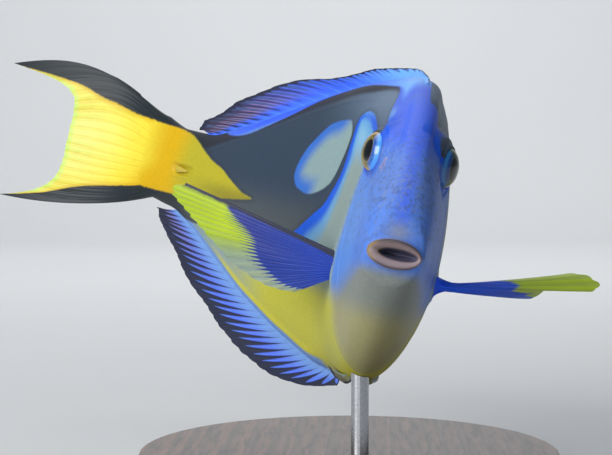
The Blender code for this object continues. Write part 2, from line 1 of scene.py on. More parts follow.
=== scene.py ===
"""Looks for the regal blue tang: a skin with its markings, rayed fins, eyes, tail spines and the stand.

Metres, +Z up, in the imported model's frame. The head points towards -Y and the fish's own left is +X.
A place on the fish is along, left and up, each a share of its standard length, as in the part's source.
"""
import functools
import math
import bpy
import numpy as np
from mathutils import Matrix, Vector


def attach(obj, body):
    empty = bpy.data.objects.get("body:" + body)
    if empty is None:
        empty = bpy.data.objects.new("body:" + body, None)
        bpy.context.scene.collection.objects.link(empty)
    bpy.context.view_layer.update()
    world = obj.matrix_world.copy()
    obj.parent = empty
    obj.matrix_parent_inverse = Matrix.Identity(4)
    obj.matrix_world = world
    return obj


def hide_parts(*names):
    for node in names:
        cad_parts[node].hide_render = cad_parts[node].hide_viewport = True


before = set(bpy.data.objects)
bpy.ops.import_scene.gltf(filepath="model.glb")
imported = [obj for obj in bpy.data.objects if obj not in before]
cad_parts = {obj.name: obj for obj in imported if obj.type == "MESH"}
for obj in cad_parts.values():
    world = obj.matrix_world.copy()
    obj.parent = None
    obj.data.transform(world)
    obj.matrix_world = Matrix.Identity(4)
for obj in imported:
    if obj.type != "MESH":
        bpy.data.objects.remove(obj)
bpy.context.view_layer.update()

# The body, repeated from the part's source
STANDARD_LENGTH = 0.195
MILLIMETRES = STANDARD_LENGTH * 1000
BANK = math.radians(12.9)
AXIS_SHIFT = (0.012, -0.086)
AXIS_HEIGHT = 0.0735
ALONG = (0.0, 0.02, 0.05, 0.10, 0.16, 0.22, 0.30, 0.40, 0.50, 0.60, 0.70, 0.80, 0.88, 0.94, 1.0)
BACK = (0.001, 0.028, 0.068, 0.119, 0.163, 0.194, 0.214, 0.219, 0.209, 0.180, 0.137, 0.094,
        0.070, 0.070, 0.088)
BELLY = (-0.039, -0.060, -0.087, -0.125, -0.163, -0.192, -0.215, -0.228, -0.228, -0.208, -0.171, -0.119,
         -0.079, -0.060, -0.056)
HALF_WIDTH = (0.0355, 0.040, 0.046, 0.054, 0.061, 0.066, 0.074, 0.079, 0.078, 0.070, 0.057, 0.041,
              0.028, 0.018, 0.010)
WIDEST_UP = (-0.019, -0.018, -0.016, -0.016, -0.022, -0.030, -0.036, -0.030, -0.018, -0.010, -0.006,
             0.0, 0.0, 0.0, 0.0)
ROUNDNESS_ABOVE = ((0.0, 0.06, 0.13, 0.30, 0.42, 0.55), (2.15, 2.05, 1.80, 1.80, 2.0, 2.15))
ROUNDNESS_BELOW = 1.95
RIDGE_ROUNDNESS = 2.15
BEND_ALONG = (0.0, 0.24, 0.36, 0.50, 0.70, 0.90, 1.0, 1.14, 1.32)
BEND = (0.0, 0.0, 5.0, 32.0, 48.0, 43.0, 41.0, 71.0, 94.0)

# Mouth and gill cover
MOUTH_UP = -0.019
MOUTH_HALF_WIDTH = 0.0365
MOUTH_HALF_HEIGHT = 0.0200
OPENING_RAISED = 0.0006
OPENING_ASIDE = 0.0050
GILL_ALONG = 0.262
GILL_UP = -0.03
GILL_CURVE = 0.85
GILL_CURVE_START = 0.12
# How far behind its station the gill cover ends and the slit begins
GILL_EDGE = 0.0002
COVER_RAISED = 0.00040
GILL_DEPTH = 0.00095
# Lips from deep in the mouth to the face: along, share of the half width, share of the half height
LIPS = ((0.022, 0.30, 0.08), (0.018, 0.46, 0.15), (0.012, 0.57, 0.21), (0.006, 0.63, 0.27),
        (0.001, 0.665, 0.32), (-0.0012, 0.70, 0.37), (-0.0030, 0.76, 0.48), (-0.0038, 0.83, 0.61),
        (-0.0034, 0.895, 0.74), (-0.0014, 0.945, 0.85), (0.0018, 0.960, 0.90), (0.0044, 0.950, 0.915),
        (0.0062, 0.965, 0.955), (0.0080, 0.995, 1.0))
LIP_ROWS = 64
FACE_START = 0.0105

# Eyes and nostrils, with nostrils as along, up, radius in metres
EYE_ALONG = 0.168
EYE_UP = 0.1010
EYE_OUT = 0.046
EYE_ASIDE = -0.002
EYE_RADIUS = 0.00545
EYE_HALF_DEPTH = 0.0036
EYE_GRID = (64, 128)
# From the dome's middle to behind its rim, in half turns
EYE_DOME = (0.004, 0.60)
EYE_FORWARD = math.radians(20)
EYE_RAISED = math.radians(2)
PUPIL_FORWARD = math.radians(20)
PUPIL = math.radians(30)
PUPIL_SHAPE = (0.62, 1.12)
LID_RADIUS = 0.00530
LID_RISE = 0.0007
# Folds of the lid in metres: height, how far beyond the lid's radius, width
LID_FOLDS = ((0.00050, 0.0003, 0.00042), (-0.00022, 0.0015, 0.0005), (0.00015, 0.0024, 0.0006))
SOCKET_REACH = 0.0105
EYE_CLEARANCE = 0.0007
NOSTRILS = ((0.117, 0.089, 0.0010), (0.104, 0.083, 0.0006))

# The skin's grid: columns round the body, and spacing of the rows at places along it, in shares
COLUMNS = 400
EYE_COLUMNS = (math.radians(40), math.radians(140))
ROW_PLACES = (0.0105, 0.03, 0.09, 0.10, 0.205, 0.222, 0.245, 0.260, 0.268, 0.285, 0.34, 0.86, 0.95,
              1.05)
ROW_SPACING = (0.0010, 0.0021, 0.0020, 0.0014, 0.0014, 0.0021, 0.0012, 0.0006, 0.0006, 0.0020, 0.0038,
               0.0036, 0.0018, 0.0014)
SKIN_END = 1.05
SKIN_END_HALF_WIDTH = 0.0012

# Tail spine
SPINE_ALONG = 0.925
SPINE_UP = 0.004
SPINE_LENGTH = 0.0085
SPINE_RADIUS = 0.0008
SPINE_SUNK = 0.0012
SPINE_RAISED = 0.0010
SPINE_GRID = (40, 24)
GROOVE_LONGER = 0.004

# Fins, repeated from the part's source
STEP_ALONG = 0.01
RAY_CURVE = 0.18
DORSAL = {"rays": 28, "base": (0.262, 0.885), "edge": BACK, "side": 1, "spines": 9,
          "lengths": ((0.0, 0.05, 0.15, 0.3, 0.42, 0.5, 0.6, 0.7, 0.8, 0.9, 1.0),
                      (0.003, 0.013, 0.024, 0.045, 0.054, 0.070, 0.122, 0.138, 0.127, 0.087, 0.032)),
          "fan": ((0.0, 1.0), (0.0, 1.0)),
          "leans": ((0.0, 0.5, 0.67, 0.8, 1.0), (25.0, 31.0, 27.0, 22.5, 18.0))}
ANAL = {"rays": 29, "base": (0.450, 0.925), "edge": BELLY, "side": -1, "spines": 3,
        "lengths": ((0.0, 0.1, 0.3, 0.5, 0.6, 0.7, 0.8, 0.9, 1.0),
                    (0.022, 0.040, 0.097, 0.128, 0.140, 0.138, 0.126, 0.093, 0.058)),
        "fan": ((0.0, 0.05, 0.1, 0.2, 0.3, 0.4, 0.5, 0.6, 1.0),
                (0.0, 0.11, 0.19, 0.29, 0.37, 0.44, 0.52, 0.60, 1.0)),
        "leans": ((0.0, 0.22, 0.32, 0.42, 0.5, 0.7, 1.0), (72.0, 66.0, 52.0, 42.0, 36.0, 30.0, 24.0))}
CAUDAL_RAYS = 17
CAUDAL_UPPER_LOBE = 0.322
CAUDAL_LOWER_LOBE = 0.300
CAUDAL_MIDDLE = 0.203
CAUDAL_FORK_ABOVE = 9.0
CAUDAL_FORK_BELOW = 4.3
CAUDAL_UPPER = 0.138
CAUDAL_LOWER = 0.112
CAUDAL_ROOT_SHARE = 0.945
CAUDAL_FLARE_ABOVE = (0.764, 1.57)
CAUDAL_FLARE_BELOW = (0.50, 1.0)
PECTORAL_RAYS = 16
PECTORAL_ALONG = 0.268
PECTORAL_SLOPE = 0.006
PECTORAL_UP = -0.045
PECTORAL_ROOT = 0.038
PECTORAL_CURL = 0.05
PECTORAL_LENGTHS = ((0.0, 0.12, 0.4, 0.7, 1.0), (0.244, 0.265, 0.226, 0.156, 0.062))
LEFT_LENGTHS = ((0.0, 0.06, 0.14, 0.22, 0.4, 0.7, 1.0),
                (0.245, 0.267, 0.256, 0.228, 0.195, 0.145, 0.062))
RIGHT_SWEEPS = ((0.0, 0.5, 1.0), (19.0, 23.0, 34.0))
RIGHT_RISES = ((0.0, 0.5, 1.0), (10.5, 0.8, -30.0))
LEFT_SWEEPS = ((0.0, 0.5, 1.0), (17.0, 40.5, 71.5))
LEFT_RISES = ((0.0, 0.2, 0.4, 0.65, 1.0), (8.5, 13.7, 2.5, 7.5, 3.7))
LEFT_GATHER = 0.68
GATHER_UP = -0.067
GATHER_OVER = 0.015
# Where the blue of each side fin ends: share of the root, share of the ray
RIGHT_BLUE = ((0.0, 0.05, 0.16, 0.41, 0.55, 0.65, 0.78, 0.90, 1.0),
              (0.72, 0.69, 0.635, 0.61, 0.67, 0.72, 0.75, 0.80, 0.80))
LEFT_BLUE = ((0.0, 0.2, 0.28, 0.33, 0.40, 1.0), (0.50, 0.47, 0.56, 0.80, 1.10, 1.10))
PELVIC_RAYS = 4
PELVIC_ALONG = 0.300
PELVIC_LENGTH = 0.130
PELVIC_TAPER = 0.30
PELVIC_ANGLE = 7.0
PELVIC_SPREAD = 13.0
PELVIC_LIFT = 0.0008 / STANDARD_LENGTH
PELVIC_RISE = 0.003

# Fine fins: half thickness in metres of rays and of the skin between them, at the root and the margin
RAY_HALF = (0.00042, 0.00015)
WEB_HALF = (0.00024, 0.00009)
# A ray's width and the distance of its branches, as shares of the way from ray to ray
RAY_WIDTH = (0.125, 0.050)
FIRST_BRANCHES = 0.15
SECOND_BRANCHES = 0.07
SECOND_SPLIT_LATER = 0.22
ROOT_SUNK = 0.0009 / STANDARD_LENGTH
ROOT_FLESH = 0.0004
ROOT_FADE = 0.06
# Fringed margins: depth of the notches between rays, their sharpness, unevenness of the rays
MEDIAN_FRINGE = (0.030, 1.6, 0.008)
CAUDAL_FRINGE = (0.006, 1.5, 0.004)
PECTORAL_FRINGE = (0.020, 1.5, 0.008)
PELVIC_FRINGE = (0.030, 1.5, 0.0)
# Waves of the fin skin: size, turn from ray to ray, turn towards the margin, sag between rays
MEDIAN_WAVES = (0.0022, 0.9, 2.2, 0.0006)
CAUDAL_WAVES = (0.0016, 1.3, 0.0, 0.0005)
PECTORAL_WAVES = (0.0012, 1.1, 2.0, 0.0006)

# Markings, as closed outlines in along and up
PALETTE = ((0.157, 0.112), (0.161, 0.128), (0.168, 0.135), (0.180, 0.140), (0.235, 0.1432),
           (0.258, 0.1485), (0.273, 0.1565), (0.294, 0.167), (0.313, 0.177), (0.339, 0.189),
           (0.366, 0.197), (0.40, 0.200), (0.50, 0.198), (0.569, 0.184), (0.625, 0.161),
           (0.677, 0.129), (0.725, 0.102), (0.769, 0.082), (0.82, 0.078), (0.88, 0.10), (1.10, 0.16),
           (1.10, 0.082), (1.04, 0.072), (0.965, 0.069), (0.925, 0.065), (0.895, 0.058),
           (0.850, 0.041), (0.820, 0.030), (0.789, 0.022), (0.765, 0.011), (0.741, 0.001),
           (0.721, -0.006), (0.696, -0.011), (0.73, -0.017), (0.79, -0.025), (0.86, -0.034),
           (0.93, -0.038), (1.02, -0.040), (1.10, -0.042), (1.10, -0.12), (0.93, -0.075),
           (0.85, -0.074), (0.78, -0.068), (0.70, -0.064), (0.62, -0.060), (0.580, -0.050),
           (0.552, -0.036), (0.529, -0.021), (0.505, -0.006), (0.486, 0.005), (0.470, 0.018),
           (0.459, 0.032), (0.447, 0.046), (0.439, 0.062), (0.440, 0.080), (0.447, 0.099),
           (0.454, 0.117), (0.463, 0.135), (0.462, 0.149), (0.443, 0.157), (0.403, 0.154),
           (0.370, 0.147), (0.335, 0.138), (0.300, 0.130), (0.240, 0.117), (0.196, 0.098),
           (0.165, 0.095))
OVAL = ((0.493, 0.139), (0.511, 0.137), (0.530, 0.133), (0.549, 0.125), (0.569, 0.107), (0.587, 0.086),
        (0.597, 0.066), (0.601, 0.048), (0.597, 0.035), (0.585, 0.025), (0.564, 0.020), (0.541, 0.019),
        (0.512, 0.026), (0.480, 0.041), (0.466, 0.058), (0.460, 0.078), (0.459, 0.098), (0.464, 0.117),
        (0.478, 0.131))
WEDGE = ((0.690, -0.011), (0.75, 0.018), (0.82, 0.046), (0.88, 0.064), (1.10, 0.10), (1.10, -0.07),
         (0.88, -0.05), (0.78, -0.035))
LATERAL_LINE = ((0.235, 0.135), (0.30, 0.165), (0.40, 0.178), (0.50, 0.172), (0.60, 0.146),
                (0.70, 0.104), (0.80, 0.062), (0.88, 0.030), (0.96, 0.012))
# How far the mark reaches further forward, by height, and further up over the left side of the nape
LEFT_MARK_SHIFT = ((0.10, 0.122, 0.135, 0.140, 0.1432, 0.1485, 0.161, 0.174, 0.189, 0.20),
                   (0.0, 0.021, 0.020, 0.0245, 0.074, 0.091, 0.100, 0.110, 0.122, 0.126))
LEFT_MARK_RAISED = 0.012
CHEEK_FOLD = ((0.210, 0.070), (0.216, 0.025), (0.210, -0.040), (0.196, -0.085))
# The dorsal fin's black, from front to end: how far it runs in between the rays, and its margin
DORSAL_STREAK = ((0.0, 0.3, 0.45, 0.55, 0.7, 0.85, 1.0), (0.40, 0.52, 0.62, 0.74, 0.88, 0.96, 0.96))
DORSAL_MARGIN = ((0.0, 0.1, 0.3, 0.5, 0.7, 0.85, 1.0), (-0.20, 0.03, 0.06, 0.07, 0.09, 0.09, 0.10))
# The tail fin's black above and below its yellow: share of the ray, share of the height
CAUDAL_DARK_ABOVE = ((0.0, 0.09, 0.25, 0.47, 0.64, 0.78, 0.88, 0.95, 1.0),
                     (0.86, 0.83, 0.69, 0.60, 0.62, 0.68, 0.80, 0.90, 0.98))
CAUDAL_DARK_BELOW = ((0.0, 0.18, 0.40, 0.63, 0.83, 0.92, 1.0),
                     (-0.68, -0.58, -0.56, -0.58, -0.68, -0.82, -0.97))
# The black leading edge of the right side fin: share of the ray, share of the root
LEADING_EDGE = ((0.0, 0.21, 0.39, 0.58, 0.76, 1.0), (0.20, 0.11, 0.085, 0.055, 0.045, 0.040))
# Scales and head scales for each millimetre
SCALES = 2.2
HEAD_SCALES = 3.1
# How far the marks' edges wander, and half the width over which they fade
MARK_WANDER = 0.0022
WEDGE_WANDER = 0.003
MARK_SOFT = 0.0020
OVAL_SOFT = 0.0022
# Where the blue rims outside the dark mark begin and where they are full
RIM_SKY_EDGES = (-0.066, -0.030)
RIM_BLUE_EDGES = (-0.034, -0.012)
# Fine relief of each surface: strength, and depth in metres
SKIN_RELIEF = (0.16, 0.00012)
FIN_RELIEF = (0.25, 0.00012)
EYE_RELIEF = (0.05, 0.00004)
SPINE_RELIEF = (0.2, 0.00006)
WOOD_RELIEF = (0.15, 0.0002)
STEEL_RELIEF = (0.10, 0.00002)

# Lamps: name, place, aim, size, power, colour
ON_FISH = (0.0, 0.0, 0.07)
WHITE = (1.0, 1.0, 1.0)
SEA_BLUE = (0.45, 0.68, 1.0)
LAMPS = (("key", (-0.76, -0.92, 0.50), ON_FISH, 0.8, 15.5, WHITE),
         ("fill", (0.9, -0.8, 0.25), ON_FISH, 0.9, 0.3, SEA_BLUE),
         ("top", (-0.25, 0.0, 1.1), ON_FISH, 0.9, 4.0, WHITE),
         ("backdrop", (0.0, 0.9, 1.5), (0.0, 2.2, 0.4), 1.0, 24.0, WHITE))
SKY = (0.72, 0.84, 1.0, 1.0)
SKY_STRENGTH = 0.13

# The photograph's viewing angle, with the aim as a place on the axis and a shift across the picture
CAMERA_AZIMUTH = math.radians(1.4)
CAMERA_ELEVATION = math.radians(2.1)
CAMERA_DISTANCE = 0.547
CAMERA_LENS = 120.6
CAMERA_AIM = 0.25
CAMERA_SHIFT = (-0.0234, 0.0012)


def tone(red, green, blue):
    """A display colour, 0 to 255 each, as linear light."""
    value = np.array([red, green, blue], float) / 255
    return np.where(value <= 0.04045, value / 12.92, ((value + 0.055) / 1.055) ** 2.4)


# Skin colours
FOREHEAD_BLUE = tone(68, 104, 226)
CROWN_BLUE = tone(84, 116, 208)
STREAK_BLUE = tone(70, 106, 232)
CHEEK_BLUE = tone(84, 130, 220)
# Lit and shaded copies of the face's edge blue: painted light on the fish's right side, painted shade on
# its left
LIT_EDGE_BLUE = tone(96, 148, 232)
SHADED_EDGE_BLUE = tone(52, 106, 204)
CHEEK_LILAC = tone(104, 130, 192)
LIP_PATCH = tone(128, 140, 172)
CHIN_GREY = tone(128, 134, 128)
THROAT_OLIVE = tone(160, 157, 112)
COVER_GREY = tone(148, 164, 146)
LOBE_BLUE = tone(134, 184, 216)
FLANK_GREY = tone(136, 158, 160)
BELLY_YELLOW = tone(190, 188, 58)
YELLOW_LINE = tone(214, 208, 50)
LIP_PINK = tone(150, 133, 138)
LIP_UPPER = tone(116, 98, 98)
LIP_EDGE = tone(56, 54, 56)
# Orange on the lips' rims at the mouth's corner on the fish's right side: painted highlight
LIP_CORNER_HIGHLIGHT = tone(150, 122, 44)
# Dark for the skin deep inside the mouth: painted shade
MOUTH_SHADE = tone(92, 90, 114)
NOSTRIL_RIM = tone(176, 160, 190)
PALETTE_SLATE = tone(52, 66, 84)
# Lighter slate for the dark mark's top front: painted sheen
PALETTE_SHEEN = tone(100, 120, 142)
PALETTE_LOW = tone(84, 90, 92)
PALETTE_EDGE = tone(44, 46, 56)
RIM_BLUE = tone(16, 86, 216)
RIM_SKY = tone(92, 160, 216)
OVAL_GREY = tone(136, 160, 162)
OVAL_BLUE = tone(58, 110, 196)
TAIL_YELLOW = tone(182, 172, 44)
# Olive laid on the lower edge of the tail stalk's yellow: painted shade
TAIL_SHADE_OLIVE = tone(136, 128, 44)
TAIL_ORANGE = tone(216, 172, 14)
SPECKLE_TAN = tone(124, 138, 160)
SPECKLE_DARK = tone(70, 84, 120)
# Speckles: where they begin and are full in the noise, its scale, and their colour
SPECKLES = ((0.50, 0.62, 950.0, SPECKLE_TAN), (0.49, 0.38, 620.0, SPECKLE_DARK))
SPECKLE_STRENGTH = 0.42

# Fin colours
FIN_SKY = tone(116, 178, 252)
FIN_BLUE = tone(58, 102, 246)
FIN_REAR = tone(80, 86, 140)
FIN_LILAC = tone(150, 122, 158)
FIN_BLACK = tone(42, 46, 68)
FIN_NAVY = tone(44, 54, 108)
ANAL_BASE = tone(118, 158, 218)
ANAL_BLUE = tone(84, 112, 232)
PECTORAL_BLUE = tone(20, 60, 164)
# A lighter blue for the left side fin, which lies in shade: painted light
PECTORAL_LIT_BLUE = tone(20, 100, 255)
PECTORAL_DEEP = tone(48, 58, 146)
PECTORAL_NIGHT = tone(34, 42, 104)
PECTORAL_YELLOW = tone(180, 204, 30)
PECTORAL_CLEAR = tone(156, 176, 160)
CAUDAL_PALE = tone(232, 238, 124)
CAUDAL_YELLOW = tone(238, 222, 66)
CAUDAL_GREEN = tone(206, 240, 118)
CAUDAL_BLACK = tone(30, 40, 46)
PELVIC_OLIVE = tone(120, 120, 72)


def smooth(places, values, at):
    """A smooth curve through the values that never swings past them."""
    places = np.asarray(places, float)
    values = np.asarray(values, float)
    at = np.clip(np.asarray(at, float), places[0], places[-1])
    step = np.diff(places)
    slope = np.diff(values) / step
    tangent = np.zeros(len(places))
    tangent[0] = slope[0]
    tangent[-1] = slope[-1]
    for i in range(1, len(places) - 1):
        if slope[i - 1] * slope[i] > 0:
            after = 2 * step[i] + step[i - 1]
            before = step[i] + 2 * step[i - 1]
            tangent[i] = (after + before) / (after / slope[i - 1] + before / slope[i])
    i = np.clip(np.searchsorted(places, at, side="right") - 1, 0, len(step) - 1)
    t = (at - places[i]) / step[i]
    start = (1 + 2 * t) * (1 - t) ** 2 * values[i] + t * (1 - t) ** 2 * step[i] * tangent[i]
    end = t * t * (3 - 2 * t) * values[i + 1] + t * t * (t - 1) * step[i] * tangent[i + 1]
    return start + end


def ramp(low, high, value):
    """0 below low, 1 above high and smooth between; low may be the larger."""
    t = np.clip((np.asarray(value, float) - low) / (high - low), 0, 1)
    return t * t * (3 - 2 * t)


def bump(value, middle, width):
    return np.exp(-((value - middle) / width) ** 2)


def heading(along):
    return np.radians(smooth(BEND_ALONG, BEND, along))


def axis_table():
    """Steps along the bent axis, with the place of each in plan."""
    stations = np.linspace(0, 1.4, 701)
    middle = heading((stations[1:] + stations[:-1]) / 2)
    step = stations[1] - stations[0]
    across = np.concatenate([[0], np.cumsum(-np.sin(middle)) * step])
    back = np.concatenate([[0], np.cumsum(np.cos(middle)) * step])
    return stations, across, back


STATIONS, AXIS_ACROSS, AXIS_BACK = axis_table()


def place(along, left, up):
    """Bend, bank and lift a place on the fish into the world."""
    along, left, up = np.broadcast_arrays(*(np.asarray(v, float) for v in (along, left, up)))
    turn = heading(along)
    x = np.interp(along, STATIONS, AXIS_ACROSS) + left * np.cos(turn)
    y = np.interp(along, STATIONS, AXIS_BACK) + np.minimum(along, 0) + left * np.sin(turn)
    banked_x = x * math.cos(BANK) + up * math.sin(BANK)
    banked_z = up * math.cos(BANK) - x * math.sin(BANK)
    points = np.stack([banked_x, y, banked_z], -1) * STANDARD_LENGTH
    return points + np.array([AXIS_SHIFT[0], AXIS_SHIFT[1], AXIS_HEIGHT])


def sizes_at(along):
    """Heights of the back and the belly, half width, and height of the widest place."""
    return [smooth(ALONG, sizes, along) for sizes in (BACK, BELLY, HALF_WIDTH, WIDEST_UP)]


def section(along, angle):
    """Left and up of the skin, where angle 0 is the left side and 90 degrees the back."""
    top, bottom, width, widest = sizes_at(along)
    c, s = np.cos(angle), np.sin(angle)
    above = ramp(-0.5, 0.5, s)
    roundness = ROUNDNESS_BELOW + (smooth(*ROUNDNESS_ABOVE, along) - ROUNDNESS_BELOW) * above
    power = 2 / (roundness + (RIDGE_ROUNDNESS - roundness) * ramp(0.90, 0.995, s))
    height = np.where(s > 0, top - widest, widest - bottom)
    return width * np.sign(c) * np.abs(c) ** power, widest + height * np.sign(s) * np.abs(s) ** power


def side_out(along, up):
    """How far the skin lies from the middle plane at a height."""
    top, bottom, width, widest = sizes_at(along)
    height = np.where(up > widest, top - widest, widest - bottom)
    roundness = np.where(up > widest, smooth(*ROUNDNESS_ABOVE, along), ROUNDNESS_BELOW)
    share = np.clip(np.abs(up - widest) / height, 0, 1)
    return width * (1 - share ** roundness) ** (1 / roundness)


def unit(vectors):
    return vectors / np.maximum(np.linalg.norm(vectors, axis=-1, keepdims=True), 1e-12)


def curve_through(points, closed):
    """A smooth line through the points, as more points."""
    points = np.array(points, float)
    count = len(points)
    steps = 6 if closed else 8
    found = []
    for i in range(count if closed else count - 1):
        near = [(i + k) % count if closed else min(max(i + k, 0), count - 1) for k in (-1, 0, 1, 2)]
        before, here, after, beyond = points[near]
        for t in np.arange(steps) / steps:
            found.append(0.5 * (2 * here + (after - before) * t
                                + (2 * before - 5 * here + 4 * after - beyond) * t ** 2
                                + (3 * here - before - 3 * after + beyond) * t ** 3))
    found.append(points[0 if closed else -1])
    return np.array(found)


def line_distance(points, along, up, closed=False):
    """The distance to a smooth line, or to a closed outline, where it is positive inside."""
    line = curve_through(points, closed)
    best = np.full(along.shape, np.inf)
    inside = np.full(along.shape, not closed)
    for (a0, u0), (a1, u1) in zip(line[:-1], line[1:]):
        da, du = a1 - a0, u1 - u0
        t = np.clip(((along - a0) * da + (up - u0) * du) / (da * da + du * du + 1e-12), 0, 1)
        best = np.minimum(best, (along - a0 - t * da) ** 2 + (up - u0 - t * du) ** 2)
        if closed and du:
            inside ^= ((u0 > up) != (u1 > up)) & (along < a0 + (up - u0) * da / du)
    return np.where(inside, 1.0, -1.0) * np.sqrt(best)


def grid_faces(rows, columns, closed):
    """Quads of a grid whose points go row by row."""
    j, i = np.meshgrid(np.arange(rows - 1), np.arange(columns - (not closed)), indexing="ij")
    n = (i + 1) % columns
    quads = [j * columns + i, j * columns + n, (j + 1) * columns + n, (j + 1) * columns + i]
    return np.stack(quads, -1).reshape(-1, 4).tolist()


def mesh_piece(name, points, faces, values=None, sharp=None):
    """A smooth shaded mesh object, with values and colours kept on its points."""
    mesh = bpy.data.meshes.new(name)
    mesh.from_pydata(np.asarray(points).reshape(-1, 3).tolist(), [], faces)
    for word, kept in (values or {}).items():
        kept = np.asarray(kept, np.float32).reshape(len(mesh.vertices), -1)
        if kept.shape[1] == 3:
            kept = np.concatenate([kept, np.ones((len(kept), 1), np.float32)], 1)
            mesh.attributes.new(word, "FLOAT_COLOR", "POINT").data.foreach_set("color", kept.ravel())
        else:
            mesh.attributes.new(word, "FLOAT", "POINT").data.foreach_set("value", kept.ravel())
    mesh.shade_smooth()
    if sharp is not None:
        mesh.set_sharp_from_angle(angle=math.radians(sharp))
    obj = bpy.data.objects.new(name, mesh)
    bpy.context.scene.collection.objects.link(obj)
    return obj


def flat(grid):
    """The values of a grid of points, point by point."""
    return grid.reshape(grid.shape[0] * grid.shape[1], -1)


def layers(first, others):
    """A colour at each point, with others laid over it in turn, each by its share."""
    colour = np.zeros(others[0][1].shape + (3,)) + first
    for other, share in others:
        colour = colour + (other - colour) * np.clip(share, 0, 1)[..., None]
    return colour


def tail_tone(along, low):
    """The tail's yellow: deepest where the fin begins, further out below, and pale at its margin."""
    outer = along - 0.05 * low
    return layers(TAIL_YELLOW, (
        (TAIL_ORANGE, ramp(0.88, 0.96, along)),
        (CAUDAL_YELLOW, ramp(0.965, 1.08, outer)),
        (CAUDAL_PALE, ramp(1.05, 1.20, outer))))


def gill_shift(angle):
    """How far forward the gill edge runs towards the back and the belly."""
    return -GILL_CURVE * (0.2 * np.sin(angle) - GILL_UP) ** 2


def column_angles():
    """Angles round the body, closer together at the eyes."""
    fine = np.linspace(0, 2 * math.pi, 4001)
    density = 1 + sum(1.9 * bump(fine, middle, 0.30) for middle in EYE_COLUMNS)
    total = np.concatenate([[0], np.cumsum((density[1:] + density[:-1]) / 2)])
    return np.interp(np.arange(COLUMNS) / COLUMNS * total[-1], total, fine)


def row_stations():
    found = [FACE_START]
    while found[-1] < SKIN_END:
        found.append(found[-1] + float(np.interp(found[-1], ROW_PLACES, ROW_SPACING)))
    found[-1] = SKIN_END
    return np.array(found)


def caudal_flare(out, wave, power):
    return np.sin(out * math.pi * wave) ** power


def skin_grid():
    """The skin's rows and columns: places as along, left and up, and each row's own station."""
    angle = column_angles()[None, :]
    t = np.linspace(0, len(LIPS) - 1, LIP_ROWS)[:, None]
    knots = np.arange(len(LIPS))
    along, width, height = (smooth(knots, [size[k] for size in LIPS], t) for k in range(3))
    inner = np.clip((1 - height) / 0.68, 0, 1)
    wrinkle = 1 + 0.012 * np.sin(angle * 46 + 3 * np.sin(angle * 7)) * bump(height, 0.6, 0.28)
    lip_along = along + 0 * angle
    lip_left = OPENING_ASIDE * inner + MOUTH_HALF_WIDTH * width * np.cos(angle)
    lip_up = MOUTH_UP + OPENING_RAISED * inner + MOUTH_HALF_HEIGHT * height * np.sin(angle) * wrinkle

    station = row_stations()[:, None]
    before = np.clip((station - GILL_CURVE_START) / (GILL_ALONG - GILL_CURVE_START), 0, 1) ** 1.5
    after = smooth((GILL_ALONG, 0.30, 0.36, 0.53), (1.0, 0.80, 0.45, 0.0), station)
    shifted = station + np.where(station < GILL_ALONG, before, after) * gill_shift(angle)
    on_body = np.minimum(shifted, 1.0)
    left, up = section(on_body, angle)
    past = np.maximum(shifted - 1.0, 0.0)
    end_width = SKIN_END_HALF_WIDTH / HALF_WIDTH[-1]
    left = left * (1 - (1 - end_width) * ramp(0, SKIN_END - 1.0, past))
    above = caudal_flare(past / CAUDAL_UPPER_LOBE, *CAUDAL_FLARE_ABOVE)
    below = caudal_flare(past / CAUDAL_LOWER_LOBE, *CAUDAL_FLARE_BELOW)
    up = np.where(up > 0, up * (1 + (CAUDAL_UPPER / BACK[-1] - 1) * above),
                  up * (1 + (CAUDAL_LOWER / -BELLY[-1] - 1) * below))
    up = up * (1 - 0.05 * ramp(0.95, 1.005, shifted))
    join = ramp(FACE_START, FACE_START + 0.012, station)
    rim_left = (MOUTH_HALF_WIDTH + 0.0009 + (station - FACE_START) * 0.55) * np.cos(angle)
    rim_up = MOUTH_UP + (MOUTH_HALF_HEIGHT + 0.0012 + (station - FACE_START) * 1.45) * np.sin(angle)
    left = rim_left + (left - rim_left) * join
    up = rim_up + (up - rim_up) * join
    places = [np.concatenate(pair) for pair in ((lip_along, shifted), (lip_left, left), (lip_up, up))]
    rows = np.concatenate([t * 0 - 1.0, station])[:, 0]
    return angle[0], rows, places


def around(side, along, out, up):
    """A place in the world, and the directions ahead, upwards and outwards from it."""
    centre = place(along, out, up)
    steps = ((along - STEP_ALONG, out, up), (along, out, up + STEP_ALONG),
             (along, out + side * STEP_ALONG, up))
    return centre, *(unit(place(*step) - centre) for step in steps)


def eye_frame(side):
    """The eye's centre and its outward, forward and upward directions in the world."""
    centre, ahead, above, outer = around(side, EYE_ALONG, side * EYE_OUT + EYE_ASIDE, EYE_UP)
    aim = unit(outer + ahead * math.tan(EYE_FORWARD) + above * math.tan(EYE_RAISED))
    front = unit(ahead - aim * (ahead @ aim))
    return centre, aim, front, np.cross(aim, front)


def grid_normals(points):
    across = np.roll(points, -1, 1) - np.roll(points, 1, 1)
    down = np.gradient(points, axis=0)
    normal = unit(np.cross(across, down))
    centre = points.mean(1, keepdims=True)
    outward = ((points - centre) * normal).sum(-1)
    return normal * np.sign(np.median(outward[outward.shape[0] // 2]))


def split_reach(points, centre, aim):
    """How far each point lies from a centre along a direction, and how far across it."""
    offset = points - centre
    high = offset @ aim
    return high, np.sqrt(np.maximum((offset ** 2).sum(-1) - high ** 2, 0))


def nostril_reach(points, side, along, up, radius):
    """How far each point lies from a nostril's middle, in its own radii."""
    centre, _, above, _ = around(side, along, side * side_out(along, up), up)
    high, across = split_reach(points, centre, above)
    return np.sqrt((high / 1.35) ** 2 + (across / 0.85) ** 2) / radius


